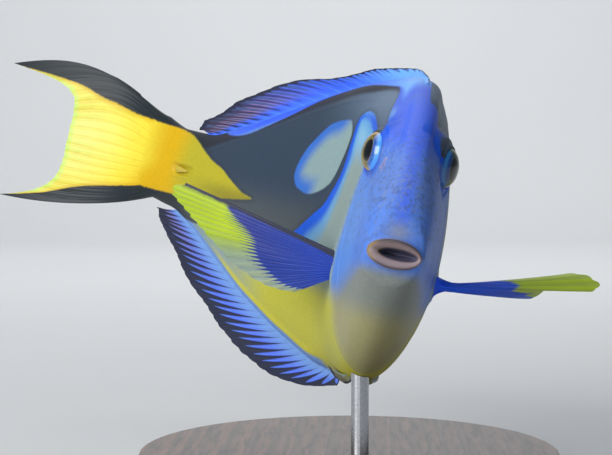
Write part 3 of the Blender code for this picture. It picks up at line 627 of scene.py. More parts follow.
def groove_away(points, side):
    """How far each point lies from the line of a tail spine's groove."""
    rear = place(SPINE_ALONG + GROOVE_LONGER, side * side_out(SPINE_ALONG, SPINE_UP), SPINE_UP)
    tip_along = SPINE_ALONG - SPINE_LENGTH / STANDARD_LENGTH - GROOVE_LONGER
    line = place(tip_along, side * side_out(tip_along, SPINE_UP), SPINE_UP) - rear
    t = np.clip((points - rear) @ line / (line @ line), 0, 1)
    return np.linalg.norm(points - rear - t[..., None] * line, axis=-1)


def shape_skin(points, along, left, up, rows, angle):
    """Raise the gill cover, cheek folds and fin bases, and sink the nostrils and spine grooves."""
    normal = grid_normals(points)
    after = (rows - GILL_ALONG)[:, None]
    s = np.sin(angle)[None, :]
    open_side = ramp(0.92, 0.55, s) * ramp(-0.92, -0.60, s)
    cover = COVER_RAISED * np.exp(np.minimum(after, 0) / 0.012) * (after <= GILL_EDGE)
    slit = -GILL_DEPTH * np.exp(-np.maximum(after - 0.0010, 0) / 0.0050) * (after > GILL_EDGE)
    lift = (cover + slit) * open_side * (rows > 0)[:, None]

    fold = line_distance(CHEEK_FOLD, along, up)
    beside = ramp(0.012, 0.03, np.abs(left))
    lift += (-0.00022 * bump(fold, 0, 0.0035) + 0.00012 * bump(fold, 0.009, 0.006)) * beside
    lateral = line_distance(LATERAL_LINE, along, up)
    lift += 0.00010 * bump(lateral, 0, 0.0030)
    base = np.abs(up - (PECTORAL_UP - PECTORAL_ROOT / 2)) / (PECTORAL_ROOT / 2 + 0.010)
    behind = (along - PECTORAL_ALONG - 0.004) / 0.013
    lift += 0.00085 * np.exp(-base ** 4 - behind ** 2) * (after > GILL_EDGE)

    nostril = np.full(along.shape, 9.0)
    for side in (1, -1):
        near = np.sign(left) == side
        for nostril_along, nostril_up, radius in NOSTRILS:
            reach = nostril_reach(points, side, nostril_along, nostril_up, radius)
            pit = -0.95 * radius * ramp(1.0, 0.35, reach) + 0.20 * radius * bump(reach, 1.22, 0.24)
            lift += pit * near
            nostril = np.where(near, np.minimum(nostril, reach), nostril)
        away = groove_away(points, side)
        lift += (-0.00065 * ramp(0.0019, 0.0008, away) + 0.00022 * bump(away, 0.0023, 0.0006)) * near
    return points + normal * lift[..., None], nostril


def raise_lids(points, left):
    """Sink a socket for each eye and raise a lid round it."""
    lid = np.zeros(left.shape)
    for side in (1, -1):
        centre, aim, _, _ = eye_frame(side)
        high, reach = split_reach(points, centre, aim)
        near = (np.sign(left) == side) & (high > -0.010) & (reach < 0.014)
        dome = EYE_HALF_DEPTH * np.sqrt(np.maximum(1 - (reach / EYE_RADIUS) ** 2, 0)) - EYE_CLEARANCE
        rim = high + (LID_RISE - high) * ramp(SOCKET_REACH, LID_RADIUS + 0.0004, reach)
        for height, further, width in LID_FOLDS:
            rim += height * bump(reach, LID_RADIUS + further, width)
        under = ramp(LID_RADIUS - 0.00005, LID_RADIUS - 0.00035, reach)
        target = rim + (np.minimum(dome, high) - rim) * under
        points = points + aim * (np.where(near, target - high, 0.0))[..., None]
        lid = np.maximum(lid, near * bump(reach, LID_RADIUS + 0.0002, 0.0007))
    return points, lid


def skin_tones(along, left, up, rows, angle, lid, nostril):
    """The skin's soft colours, the tones of its dark mark, and where it is speckled."""
    top, bottom, width, _ = sizes_at(along)
    edge = np.abs(left) / width
    over_belly = up - bottom
    under_back = top - up
    behind = ramp(-0.004, 0.002, rows[:, None] - GILL_ALONG + 0 * along)
    right = ramp(0.01, -0.01, left)[..., None]
    cover = ramp(0.225, 0.262, along + 0.25 * np.clip(up, -0.3, 0)) * (along < 0.60)
    yellow = np.maximum(behind, ramp(0.19, 0.30, along)) * ramp(-0.085, -0.125, up)
    back_line = 0.021 + 0.012 * ramp(0.38, 0.27, along)
    sky = ramp(0.60, 0.30, along)[..., None]
    lips = (rows < 0)[:, None] * np.ones_like(along)
    ring = np.cumsum(lips, axis=0) * lips / LIP_ROWS * (len(LIPS) - 1)
    # On the fish's right side the lips' dark rims turn orange towards the corner: painted highlight
    lit_corner = ramp(-0.55, -0.92, np.cos(angle))[None, :, None]
    lip_edge = LIP_EDGE + (LIP_CORNER_HIGHLIGHT - LIP_EDGE) * lit_corner

    colour = layers(CHEEK_BLUE, (
        (CHEEK_LILAC, 0.65 * bump(up, 0.03, 0.09) * ramp(0.95, 0.55, edge) * ramp(0.02, 0.06, along)),
        # The face's edges: lighter blue on the fish's right side and deeper blue on its left, painted
        # light and painted shade
        (LIT_EDGE_BLUE * right + SHADED_EDGE_BLUE * (1 - right),
         ramp(0.80, 0.97, edge) * ramp(-0.15, -0.05, up) * ramp(0.05, 0.12, along)),
        (FOREHEAD_BLUE, ramp(0.095, 0.135, up)),
        (CROWN_BLUE, ramp(0.165, 0.195, up) * (1 - behind)),
        (STREAK_BLUE,
         0.75 * bump(left, 0.0, 0.010 + 0.02 * np.clip(up, 0, 0.2)) * ramp(0.006, 0.03, up)),
        (LIP_PATCH, bump(left, 0, 0.016) * bump(up, 0.009, 0.012) * (along < 0.05)),
        (COVER_GREY, 0.9 * cover * ramp(0.14, 0.09, up)),
        (LOBE_BLUE, cover * ramp(0.07, 0.12, up) * ramp(0.172, 0.152, up)),
        (CHIN_GREY, ramp(-0.030, -0.052, up) * ramp(0.99, 0.80, edge)),
        (THROAT_OLIVE, ramp(-0.080, -0.125, up)),
        (FLANK_GREY, behind * ramp(-0.03, -0.08, up)),
        (BELLY_YELLOW, yellow * ramp(0.78, 0.62, along)),
        (YELLOW_LINE,
         bump(over_belly, 0.021, 0.006) * ramp(0.47, 0.52, along) * ramp(0.82, 0.72, along)),
        (ANAL_BASE, ramp(0.017, 0.012, over_belly) * ramp(0.45, 0.49, along) * ramp(0.93, 0.86, along)),
        (FIN_SKY * sky + FIN_BLUE * (1 - sky),
         ramp(back_line, 0.016, under_back) * ramp(0.23, 0.30, along) * ramp(0.89, 0.74, along)),
        (LIP_PINK, lips * ramp(12.6, 11.0, ring)),
        (LIP_UPPER, 0.8 * lips * ramp(11.5, 10.5, ring) * ramp(-0.1, 0.35, np.sin(angle))),
        (lip_edge, bump(ring, 9.6, 1.5) * lips * 0.85),
        (lip_edge, bump(ring, 4.7, 0.55) * lips * 0.8),
        # Deep inside the mouth the skin is painted dark: painted shade
        (MOUTH_SHADE, ramp(4.7, 4.1, ring) * lips),
        (PALETTE_SLATE, 0.55 * lid),
        (NOSTRIL_RIM, 0.7 * bump(nostril, 1.25, 0.35)),
        # The nostrils' pits are painted dark: painted shade
        (PALETTE_EDGE, 0.8 * ramp(1.0, 0.6, nostril))))
    dark = layers(PALETTE_SLATE, (
        # The dark mark is lighter at its top front: painted sheen
        (PALETTE_SHEEN, ramp(0.10, 0.18, up) * ramp(0.62, 0.40, along)),
        (PALETTE_LOW, ramp(0.03, -0.04, up) * 0.8),
        (PALETTE_EDGE, ramp(0.030, 0.021, under_back) * ramp(0.28, 0.36, along)),
        (CAUDAL_BLACK, ramp(0.82, 0.92, along))))
    speckled = ramp(0.17, 0.12, up) * ramp(-0.10, -0.03, up) * (1 - behind) * (1 - lips)
    speckled = speckled * (1 - 0.9 * bump(left, 0, 0.022) * bump(up, 0.008, 0.022))
    return colour, dark, speckled * (0.35 + 0.65 * bump(up, 0.05, 0.07))


def make_skin():
    angle, rows, (along, left, up) = skin_grid()
    points, nostril = shape_skin(place(along, left, up), along, left, up, rows, angle)
    points, lid = raise_lids(points, left)
    colour, dark, speckled = skin_tones(along, left, up, rows, angle, lid, nostril)
    step = np.linalg.norm(np.diff(points, axis=1, append=points[:, :1]), axis=-1)
    round_body = np.cumsum(step, axis=1) - step
    top = np.argmin(np.abs(angle - math.pi / 2))
    round_body = np.abs(round_body - round_body[:, top:top + 1])
    round_body = np.minimum(round_body, step.sum(1, keepdims=True) - round_body)
    left_nape = ramp(0.45, 0.32, along) * ramp(0.0, 0.008, left)
    mark_along = along + smooth(*LEFT_MARK_SHIFT, up) * left_nape
    mark_up = up - LEFT_MARK_RAISED * ramp(0.165, 0.20, up) * left_nape
    # The tail stalk's yellow darkens to olive towards its lower edge: painted shade
    below = ramp(0.008, -0.016, up) * ramp(0.90, 0.76, along)
    values = {
        "tone": colour,
        "dark_tone": dark,
        "tail_tone": layers(tail_tone(along, ramp(0.01, -0.034, up)), ((TAIL_SHADE_OLIVE, 0.8 * below),)),
        "palette": line_distance(PALETTE, mark_along, mark_up, closed=True),
        "oval": line_distance(OVAL, along, up, closed=True),
        "oval_front": along - 0.525 + 0.35 * (up - 0.08),
        "wedge": line_distance(WEDGE, along, up, closed=True),
        "lateral": line_distance(LATERAL_LINE, along, up),
        "speckled": speckled,
        "along": along,
        "up": up,
        "scale_u": along * MILLIMETRES,
        "scale_v": round_body * 1000,
        "head": ramp(0.30, 0.22, along),
        "lips": (rows < 0)[:, None] + 0.0 * along,
    }
    ends = points[0].mean(0)[None], points[-1].mean(0)[None]
    last = (len(rows) - 1) * COLUMNS
    start = last + COLUMNS
    faces = grid_faces(len(rows), COLUMNS, closed=True)
    for i in range(COLUMNS):
        n = (i + 1) % COLUMNS
        faces += [(start, n, i), (start + 1, last + i, last + n)]
    values = {word: flat(value) for word, value in values.items()}
    values = {word: np.concatenate([value, value[:1], value[-1:]]) for word, value in values.items()}
    return mesh_piece("skin", np.concatenate([flat(points), *ends]), faces, values)


class Graph:
    """A material's nodes, made by short calls."""

    def __init__(self, name, roughness, **sockets):
        self.material = bpy.data.materials.new(name)
        self.material.use_nodes = True
        self.tree = self.material.node_tree
        self.shader = self.tree.nodes["Principled BSDF"]
        self.shader.inputs["Roughness"].default_value = roughness
        for word, value in sockets.items():
            self.shader.inputs[word.replace("_", " ")].default_value = value

    def put(self, socket, value):
        if isinstance(value, bpy.types.NodeSocket):
            self.tree.links.new(value, socket)
        elif isinstance(value, np.ndarray):
            socket.default_value = (*value, 1.0) if socket.type == "RGBA" else tuple(value)
        else:
            socket.default_value = value

    def node(self, kind, inputs, **settings):
        """A node with its settings, and its inputs by name or number."""
        made = self.tree.nodes.new("ShaderNode" + kind)
        for word, value in settings.items():
            setattr(made, word, value)
        for socket, value in inputs.items():
            self.put(made.inputs[socket], value)
        return made

    def value(self, name):
        return self.node("Attribute", {}, attribute_name=name).outputs["Fac"]

    def colour(self, name):
        return self.node("Attribute", {}, attribute_name=name).outputs["Color"]

    def math(self, operation, *values):
        return self.node("Math", dict(enumerate(values)), operation=operation).outputs[0]

    def times(self, *values):
        return functools.reduce(lambda a, b: self.math("MULTIPLY", a, b), values)

    def plus(self, a, b):
        return self.math("ADD", a, b)

    def less(self, a, b):
        return self.math("SUBTRACT", a, b)

    def ramp(self, low, high, value):
        limits = {"Value": value, "From Min": low, "From Max": high}
        return self.node("MapRange", limits, interpolation_type="SMOOTHSTEP").outputs[0]

    def mix(self, share, a, b, blend="MIX"):
        return self.node("Mix", {0: share, 6: a, 7: b}, data_type="RGBA", blend_type=blend).outputs[2]

    def tint(self, colour, by):
        """A colour darkened or lightened, channel by channel, or by one value for all three."""
        if not isinstance(by, np.ndarray) and by.type == "VALUE":
            by = self.vector(by, by, by)
        return self.mix(1.0, colour, by, "MULTIPLY")

    def vector(self, *parts):
        return self.node("CombineXYZ", dict(enumerate(parts))).outputs[0]

    def space(self):
        return self.node("TexCoord", {}).outputs["Object"]

    def noise(self, vector, scale, detail=2.0, roughness=0.5):
        inputs = {"Vector": vector, "Scale": scale, "Detail": detail, "Roughness": roughness}
        return self.node("TexNoise", inputs).outputs["Fac"]

    def voronoi(self, vector, scale, output, randomness):
        inputs = {"Vector": vector, "Scale": scale, "Randomness": randomness}
        return self.node("TexVoronoi", inputs, voronoi_dimensions="2D").outputs[output]

    def stretched(self, scale, turn=(0.0, 0.0, 0.0)):
        inputs = {"Vector": self.space(), "Scale": scale, "Rotation": turn}
        return self.node("Mapping", inputs).outputs[0]

    def finish(self, colour, height=None, relief=None, roughness=None, alpha=None):
        normal = None
        if relief is not None:
            inputs = {"Strength": relief[0], "Distance": relief[1], "Height": height}
            normal = self.node("Bump", inputs).outputs[0]
        ends = {"Base Color": colour, "Roughness": roughness, "Alpha": alpha, "Normal": normal}
        for word, value in ends.items():
            if value is not None:
                self.put(self.shader.inputs[word], value)
        return self.material


def skin_material():
    """Soft tones, speckles, the tail's yellow wedge, the dark mark with its rims and oval, and scales."""
    g = Graph("tang_skin", 0.48, Coat_Weight=0.06, Coat_Roughness=0.30, Specular_IOR_Level=0.28)
    place_on = g.vector(g.value("scale_u"), g.value("scale_v"))
    wander = g.less(g.noise(g.space(), 900.0, 2.0), 0.5)
    scales = g.voronoi(place_on, SCALES, "Distance", 0.75)
    scale_shade = g.voronoi(place_on, SCALES, "Color", 0.75)
    head_scales = g.voronoi(place_on, HEAD_SCALES, "Distance", 0.9)
    head = g.value("head")
    grain = g.plus(g.times(head_scales, head), g.times(scales, g.less(1.0, head)))
    along = g.value("along")
    up = g.value("up")

    base = g.colour("tone")
    speckled = g.times(g.value("speckled"), SPECKLE_STRENGTH)
    for low, high, size, spot in SPECKLES:
        spots = g.ramp(low, high, g.noise(g.space(), size, 2.5, 0.6))
        base = g.mix(g.times(spots, speckled), base, spot)

    def edged(name, amount=MARK_WANDER):
        return g.plus(g.value(name), g.times(wander, amount))

    base = g.mix(g.ramp(-0.001, 0.002, edged("wedge", WEDGE_WANDER)), base, g.colour("tail_tone"))

    palette = edged("palette")
    beside = g.times(g.ramp(0.66, 0.56, along), g.ramp(0.172, 0.140, up), g.ramp(-0.075, -0.050, up))
    beyond = g.times(palette, g.plus(1.0, g.ramp(0.08, 0.13, up)))
    on_cover = g.times(beside, g.times(g.ramp(0.30, 0.38, along), 0.8))
    base = g.mix(g.times(g.ramp(*RIM_SKY_EDGES, beyond), on_cover), base, RIM_SKY)
    base = g.mix(g.times(g.ramp(*RIM_BLUE_EDGES, beyond), g.times(beside, 0.95)), base, RIM_BLUE)
    slate = g.mix(g.times(g.ramp(0.010, 0.0, palette), 0.35), g.colour("dark_tone"), PALETTE_EDGE)
    base = g.mix(g.ramp(-MARK_SOFT, MARK_SOFT, palette), base, slate)

    oval = edged("oval")
    rear = g.ramp(-0.030, 0.010, g.value("oval_front"))
    inside = g.mix(g.times(g.ramp(0.034, 0.006, oval), rear), OVAL_GREY, OVAL_BLUE)
    base = g.mix(g.ramp(-OVAL_SOFT, OVAL_SOFT, oval), base, inside)

    shade = g.mix(g.less(1.0, g.value("lips")), np.full(3, 0.5), scale_shade)
    grey = g.node("RGBToBW", {0: shade}).outputs[0]
    base = g.tint(base, g.plus(0.93, g.times(grey, 0.14)))
    gaps = g.times(g.ramp(0.30, 0.62, grain), 0.10)
    base = g.mix(gaps, base, g.tint(base, np.array([0.45, 0.45, 0.5])))
    pores = g.ramp(0.25, 0.75, g.math("SINE", g.times(g.value("scale_u"), 3.6)))
    pores = g.times(g.ramp(0.0032, 0.0012, g.value("lateral")), pores)
    grit = g.times(g.noise(g.space(), 2200.0), 0.4)
    height = g.less(g.plus(g.times(pores, 0.6), grit), g.times(grain, 0.9))
    return g.finish(base, height, SKIN_RELIEF, g.plus(0.42, g.times(grain, 0.16)))


def ridge(phase, out, split):
    """Height of a ray, 0 to 1, which splits in two and again in four towards the margin."""
    first = FIRST_BRANCHES * ramp(split, 1.0, out)
    second = SECOND_BRANCHES * ramp(split + SECOND_SPLIT_LATER, 1.05, out)
    away = np.abs(np.abs(np.abs(phase) - first) - second)
    width = RAY_WIDTH[0] - (RAY_WIDTH[0] - RAY_WIDTH[1]) * np.clip(out, 0, 1)
    return np.exp(-(away / width) ** 2)


def fin_columns(rays, fine, seed, notch, power, spread):
    """Columns of a fin: place in rays and as a share, distance from the nearest ray, and fringe."""
    columns = np.linspace(0, rays - 1, (rays - 1) * fine + 1)
    phase = columns - np.round(columns)
    uneven = np.interp(columns, np.arange(rays), np.random.default_rng(seed).normal(0, 1, rays))
    fringe = 1 - notch * (2 * np.abs(phase)) ** power - spread * np.abs(uneven)
    return columns, columns / (rays - 1), phase, fringe


def waves(columns, out, size, rate, turn, sag):
    """How far a fin's skin waves aside, and sags between its rays."""
    inside = np.clip(out, 0, 1)
    wave = size * np.sin(columns * rate + turn * out) * inside ** 1.5
    return wave + sag * np.cos(columns * 2 * math.pi) * inside


def fin_piece(name, middle, phase, out, split, length, colour, dark, thickness=1.0, **more):
    """A closed thin blade round a grid of middle points: webs with raised rays, and a fleshy root."""
    ray = ridge(phase, out, split)
    t = np.clip(out, 0, 1)
    ray_half = RAY_HALF[0] + (RAY_HALF[1] - RAY_HALF[0]) * t
    web_half = WEB_HALF[0] + (WEB_HALF[1] - WEB_HALF[0]) * t
    half = thickness * (web_half + (ray_half - web_half) * ray)
    half = half + ROOT_FLESH * np.exp(-np.maximum(out, 0) / ROOT_FADE)
    normal = unit(np.cross(np.gradient(middle, axis=1), np.gradient(middle, axis=0)))
    rows, columns = half.shape
    other = rows * columns
    faces = grid_faces(rows, columns, closed=False)
    faces += [(other + d, other + c, other + b, other + a) for a, b, c, d in faces]
    rim = list(range(columns))
    rim += [j * columns + columns - 1 for j in range(1, rows)]
    rim += [(rows - 1) * columns + i for i in range(columns - 2, -1, -1)]
    rim += [j * columns for j in range(rows - 2, 0, -1)]
    faces += [(a, other + a, other + b, b) for a, b in zip(rim, rim[1:] + rim[:1])]
    values = {"tone": colour, "dark": dark, "ray": ray, "joint": out * length * MILLIMETRES, **more}
    values = {word: np.concatenate([flat(value)] * 2) for word, value in values.items()}
    points = [middle + side * normal * half[..., None] for side in (1, -1)]
    return mesh_piece(name, np.concatenate(points), faces, values, sharp=70)


def median_fin(name, fin, seed, tones, rows=56, fine=12):
    """A dorsal or anal fin, whose rays stand on the back or belly and lean towards the tail."""
    columns, share, phase, fringe = fin_columns(fin["rays"], fine, seed, *MEDIAN_FRINGE)

    def edge(along):
        return smooth(ALONG, fin["edge"], along)

    def ray(at, out):
        root = fin["base"][0] + (fin["base"][1] - fin["base"][0]) * at
        length = smooth(*fin["lengths"], at) * fringe
        lean = np.radians(smooth(*fin["leans"], at)) * (1 - RAY_CURVE * np.clip(out, 0, 1))
        rise = (edge(root + STEP_ALONG) - edge(root - STEP_ALONG)) / (2 * STEP_ALONG)
        turn = np.arctan(rise) + fin["side"] * lean
        return np.array([root + out * length * np.cos(turn), edge(root) + out * length * np.sin(turn)])

    length = smooth(*fin["lengths"], share) * fringe
    out = np.linspace(0, 1, rows)[:, None] ** 0.9
    out = out * (1 + ROOT_SUNK / length) - ROOT_SUNK / length
    fanned = ray(smooth(*fin["fan"], share), 1.0) - ray(share, 1.0)
    along, up = ray(share, out) + np.clip(out, 0, 1) * fanned[:, None]
    middle = place(along, waves(columns, out, *MEDIAN_WAVES), up)
    split = 1.5 - 0.98 * ramp(fin["spines"] - 0.5, fin["spines"] + 0.5, columns)
    phase = phase + 0 * out
    colour, dark = tones(share + 0 * out, out, phase)
    return fin_piece(name, middle, phase, out, split, length, colour, dark)


def dorsal_tones(share, out, phase):
    """Blue, paler in front and lilac behind, with a black margin that runs inwards between the rays."""
    soft = ramp(0.30, 0.36, share)
    nearest = np.abs(np.abs(phase) - 0.25 * soft * ramp(0.05, 0.35, out))
    web = np.clip(nearest / (0.5 - 0.25 * soft), 0, 1)
    start = 1 - smooth(*DORSAL_STREAK, share) * web ** (0.8 - 0.4 * ramp(0.5, 0.8, share))
    navy = FIN_NAVY + (FIN_BLACK - FIN_NAVY) * ramp(0.6, 0.85, share)[..., None]
    colour = layers(FIN_BLUE, (
        (FIN_SKY, ramp(0.52, 0.28, share)),
        (FIN_SKY, 0.2 * ramp(0.30, 0.0, out)),
        (FIN_REAR, ramp(0.45, 0.90, share) * ramp(0.10, 0.5, out)),
        (FIN_LILAC, 0.9 * ramp(0.55, 0.80, share) * ramp(0.20, 0.5, out)),
        (navy, (0.60 + 0.30 * ramp(0.3, 0.7, share)) * ramp(-0.02, 0.16, out - start))))
    return colour, out - (1 - smooth(*DORSAL_MARGIN, share) - 0.10 * web)


def anal_tones(share, out, phase):
    """Blue stripes on the rays between black spikes that run in from a broad black margin."""
    margin = 0.17 + 0.08 * ramp(0.7, 1.0, share)
    inner = 1 - margin - (0.84 - margin) * (2 * np.abs(phase)) ** 1.6
    colour = layers(ANAL_BLUE, (
        (ANAL_BASE, ramp(0.55, 0.05, out)),
        (FIN_REAR, 0.6 * ramp(0.45, 0.90, share) * ramp(0.1, 0.6, out)),
        (FIN_LILAC, 0.45 * ramp(0.55, 0.95, share) * ramp(0.2, 0.6, out)),
        (FIN_NAVY, 0.6 * ramp(-0.14, 0.0, out - inner))))
    return colour, out - inner


def caudal_points(share, out, length, sway):
    root_up = CAUDAL_ROOT_SHARE * np.where(share > 0, BACK[-1], -BELLY[-1])
    spread = np.where(share > 0, CAUDAL_UPPER, CAUDAL_LOWER)
    inside = np.clip(out, 0, 1)
    flare = np.where(share > 0, caudal_flare(inside, *CAUDAL_FLARE_ABOVE),
                     caudal_flare(inside, *CAUDAL_FLARE_BELOW))
    root_up = root_up * (1 + 2.5 * np.minimum(out, 0))
    return place(1.0 + out * length, sway, share * (root_up + (spread - root_up) * flare))


def make_caudal(rows=80, fine=16):
    columns, share, phase, fringe = fin_columns(CAUDAL_RAYS, fine, 5, *CAUDAL_FRINGE)
    share = 2 * share - 1
    lobe = np.where(share > 0, CAUDAL_UPPER_LOBE, CAUDAL_LOWER_LOBE)
    fork = np.where(share > 0, CAUDAL_FORK_ABOVE, CAUDAL_FORK_BELOW)
    length = (CAUDAL_MIDDLE + (lobe - CAUDAL_MIDDLE) * np.abs(share) ** fork) * fringe
    out = np.linspace(-0.03, 1, rows)[:, None]
    inside = np.clip(out, 0, 1)
    middle = caudal_points(share, out, length, waves(columns, out, *CAUDAL_WAVES))
    phase = phase + 0 * out
    s = share + 0 * out
    dark = np.maximum(s - smooth(*CAUDAL_DARK_ABOVE, inside), smooth(*CAUDAL_DARK_BELOW, inside) - s)
    colour = layers(tail_tone(1.0 + out * length, ramp(0.1, -0.6, s)), (
        (CAUDAL_YELLOW, 0.6 * ramp(0.30, 0.60, np.abs(s)) * ramp(0.3, 0.5, out)),
        (CAUDAL_GREEN, ramp(0.94, 0.99, out + 0 * s)),
        (TAIL_ORANGE, 0.7 * ramp(-0.09, -0.01, dark))))
    split = 0.30 + 0.9 * ramp(0.85, 0.97, np.abs(s))
    return fin_piece("caudal_fin_fine", middle, phase, out, split, length, colour, dark, 1.15)


def pectoral_fin(name, side, sweeps, rises, lengths, blue, tint, seed, gather=0.0, rows=96, fine=14):
    """A side fin: blue towards its root and yellow beyond, with the last rays clear at their tips."""
    columns, share, phase, fringe = fin_columns(PECTORAL_RAYS, fine, seed, *PECTORAL_FRINGE)
    root_along = PECTORAL_ALONG + PECTORAL_SLOPE * share
    root_up = PECTORAL_UP - PECTORAL_ROOT * share
    root_out = side_out(root_along, root_up)
    length = smooth(*lengths, share) * fringe
    sweep = np.radians(smooth(*sweeps, share))
    rise = np.radians(smooth(*rises, share))
    aim = np.stack([np.sin(sweep) * np.cos(rise), side * np.cos(sweep) * np.cos(rise), np.sin(rise)])
    out = -0.015 + 1.015 * np.linspace(0, 1, rows)[:, None] ** 1.5
    inside = np.clip(out, 0, 1)
    reach = out * length
    gathered = gather * (GATHER_UP - root_up) * (1 - np.exp(-np.maximum(reach, 0) / GATHER_OVER))
    curl = PECTORAL_CURL * inside ** 2 * length + waves(columns, out, *PECTORAL_WAVES)
    middle = place(root_along + reach * aim[0] + curl, side * root_out + reach * aim[1],
                   root_up + reach * aim[2] + gathered)
    phase = phase + 0 * out
    s = share + 0 * out
    parting = 0.25 * ramp(0.3, 0.5, out)
    split_web = np.abs(np.abs(phase) - parting) / (0.5 - parting)
    beyond = out - smooth(*blue, s) - 0.13 * (split_web ** 1.6 - 0.35) * ramp(0.05, 0.3, s)
    # The gathered left side fin, which lies in shade, keeps less of the deep blue streaks: painted light
    deep_streak_share = 1 - gather
    tip = PECTORAL_YELLOW + (PECTORAL_CLEAR - PECTORAL_YELLOW) * ramp(0.48, 0.72, s)[..., None]
    colour = layers(tint, (
        (PECTORAL_DEEP, 0.85 * deep_streak_share * ramp(0.25, 0.70, out + 0 * s) * ramp(0.9, 0.3, s)),
        (PECTORAL_NIGHT, 0.65 * deep_streak_share * split_web * ramp(0.1, 0.5, out + 0 * s)),
        (tip, ramp(-0.018, 0.018, beyond))))
    dark = (-0.03 if gather else smooth(*LEADING_EDGE, inside)) - s
    return fin_piece(name, middle, phase, out, 0.40, length, colour, dark, 1.1,
                     clear=ramp(0.0, 0.06, beyond) * ramp(0.35, 0.7, s))


def pelvic_fin(name, side, rows=40, fine=10):
    """A small fin of the breast, folded back along the belly beside its fellow."""
    _, share, phase, fringe = fin_columns(PELVIC_RAYS, fine, 9, *PELVIC_FRINGE)
    out = np.linspace(0, 1, rows)[:, None]
    length = PELVIC_LENGTH * (1 - PELVIC_TAPER * share) * fringe
    angle = np.radians(PELVIC_ANGLE + PELVIC_SPREAD * share * (0.6 + 0.9 * out))
    along = PELVIC_ALONG + out * length
    left, up = section(along, -np.pi / 2 + angle)
    lift = (PELVIC_LIFT + PELVIC_RISE * out ** 1.5) * ramp(-0.35, 0.12, out)
    middle = place(along, side * (left + lift * np.sin(angle)), up - lift * np.cos(angle))
    s = share + 0 * out
    colour = np.zeros(s.shape + (3,)) + PELVIC_OLIVE
    dark = np.maximum(0.25 - s, out - 0.80)
    return fin_piece(name, middle, phase + 0 * out, out, 0.6, length, colour, dark, 0.8)


def fin_material(name, black, ray_light, ray_tint, clear=False):
    """Fin skin: its own tone, black where marked, lighter or darker rays with fine joints."""
    g = Graph(name, 0.46, Coat_Weight=0.08, Coat_Roughness=0.30, Specular_IOR_Level=0.32)
    wander = g.less(g.noise(g.space(), 700.0, 3.0), 0.5)
    ray = g.value("ray")
    cloud = g.plus(0.86, g.times(g.noise(g.space(), 160.0, 4.0, 0.6), 0.28))
    base = g.mix(g.times(ray, ray_light), g.tint(g.colour("tone"), cloud), ray_tint)
    base = g.mix(g.ramp(-0.02, 0.02, g.plus(g.value("dark"), g.times(wander, 0.03))), base, black)
    joints = g.times(g.ramp(0.55, 0.95, g.math("SINE", g.times(g.value("joint"), 9.0))), ray)
    base = g.mix(g.times(joints, 0.12), base, g.tint(base, np.array([0.4, 0.4, 0.45])))
    height = g.less(g.noise(g.space(), 1800.0, 2.0), g.times(joints, 0.8))
    alpha = None
    if clear:
        alpha = g.less(1.0, g.times(g.value("clear"), g.less(0.50, g.times(ray, 0.35))))
    return g.finish(base, height, FIN_RELIEF, alpha=alpha)


def make_eye(name, side):
    """A domed eye, with how far each point lies from the middle of the pupil, which looks forward."""
    centre, aim, front, third = eye_frame(side)
    rows, sides = EYE_GRID
    turn = (np.linspace(*EYE_DOME, rows) * math.pi)[:, None]
    angle = np.arange(sides)[None, :] * 2 * math.pi / sides
    ahead = np.sin(turn) * np.cos(angle)
    upward = np.sin(turn) * np.sin(angle)
    outward = np.cos(turn) + 0 * angle
    points = centre + EYE_RADIUS * (ahead[..., None] * front + upward[..., None] * third)
    points = points + EYE_HALF_DEPTH * outward[..., None] * aim
    facing = ahead * math.sin(PUPIL_FORWARD) + outward * math.cos(PUPIL_FORWARD)
    forward = ahead * math.cos(PUPIL_FORWARD) - outward * math.sin(PUPIL_FORWARD)
    away = np.arctan2(np.hypot(forward / PUPIL_SHAPE[0], upward / PUPIL_SHAPE[1]), facing)
    # The fish's left eye is flagged so that its material paints it darker: painted shade
    values = {"away": away, "forward": forward, "upward": upward,
              "left_eye": np.full(away.shape, float(side > 0))}
    faces = grid_faces(rows, sides, closed=True)
    last = (rows - 1) * sides
    faces += [tuple(range(sides))[::-1], tuple(range(last, last + sides))]
    return mesh_piece(name, points, faces, values)


def eye_material():
    """A black pupil in a gold ring, an iris that is olive behind and blue in front, the front blue partly
    a painted reflection, a wet cornea, and painted shade on the left eye.
    """
    g = Graph("tang_eye", 0.30, Coat_Weight=0.8, Coat_Roughness=0.03, Coat_IOR=1.5)
    away = g.value("away")
    streaks = g.noise(g.vector(g.value("forward"), g.value("upward")), 9.0, 3.0, 0.7)
    # Each tone is olive or dark behind and blue in front: partly the iris's own blue, partly painted
    # reflection on the cornea's front
    ahead = g.ramp(-0.05, 0.35, g.value("forward"))
    iris, dark_iris, rim = (g.mix(ahead, behind, before) for behind, before in (
        (tone(126, 112, 14), tone(30, 96, 190)), (tone(60, 60, 26), tone(22, 52, 110)),
        (tone(178, 140, 6), tone(70, 156, 240))))
    iris = g.mix(g.times(g.ramp(0.40, 0.65, streaks), 0.7), iris, dark_iris)
    iris = g.mix(g.ramp(PUPIL + 0.22, PUPIL + 0.45, away), iris, rim)
    iris = g.mix(g.ramp(1.35, 1.50, away), iris, tone(30, 40, 60))
    gold = g.times(g.ramp(PUPIL - 0.01, PUPIL + 0.01, away), g.ramp(PUPIL + 0.06, PUPIL + 0.03, away))
    colour = g.mix(g.times(gold, 0.7), iris, tone(140, 118, 52))
    # The fish's left eye is painted darker: painted shade
    shaded = g.less(1.0, g.times(g.value("left_eye"), 0.45))
    colour = g.tint(colour, g.vector(g.times(shaded, shaded), shaded, shaded))
    colour = g.mix(g.ramp(PUPIL + 0.015, PUPIL - 0.015, away), colour, tone(5, 7, 11))
    return g.finish(colour, streaks, EYE_RELIEF)


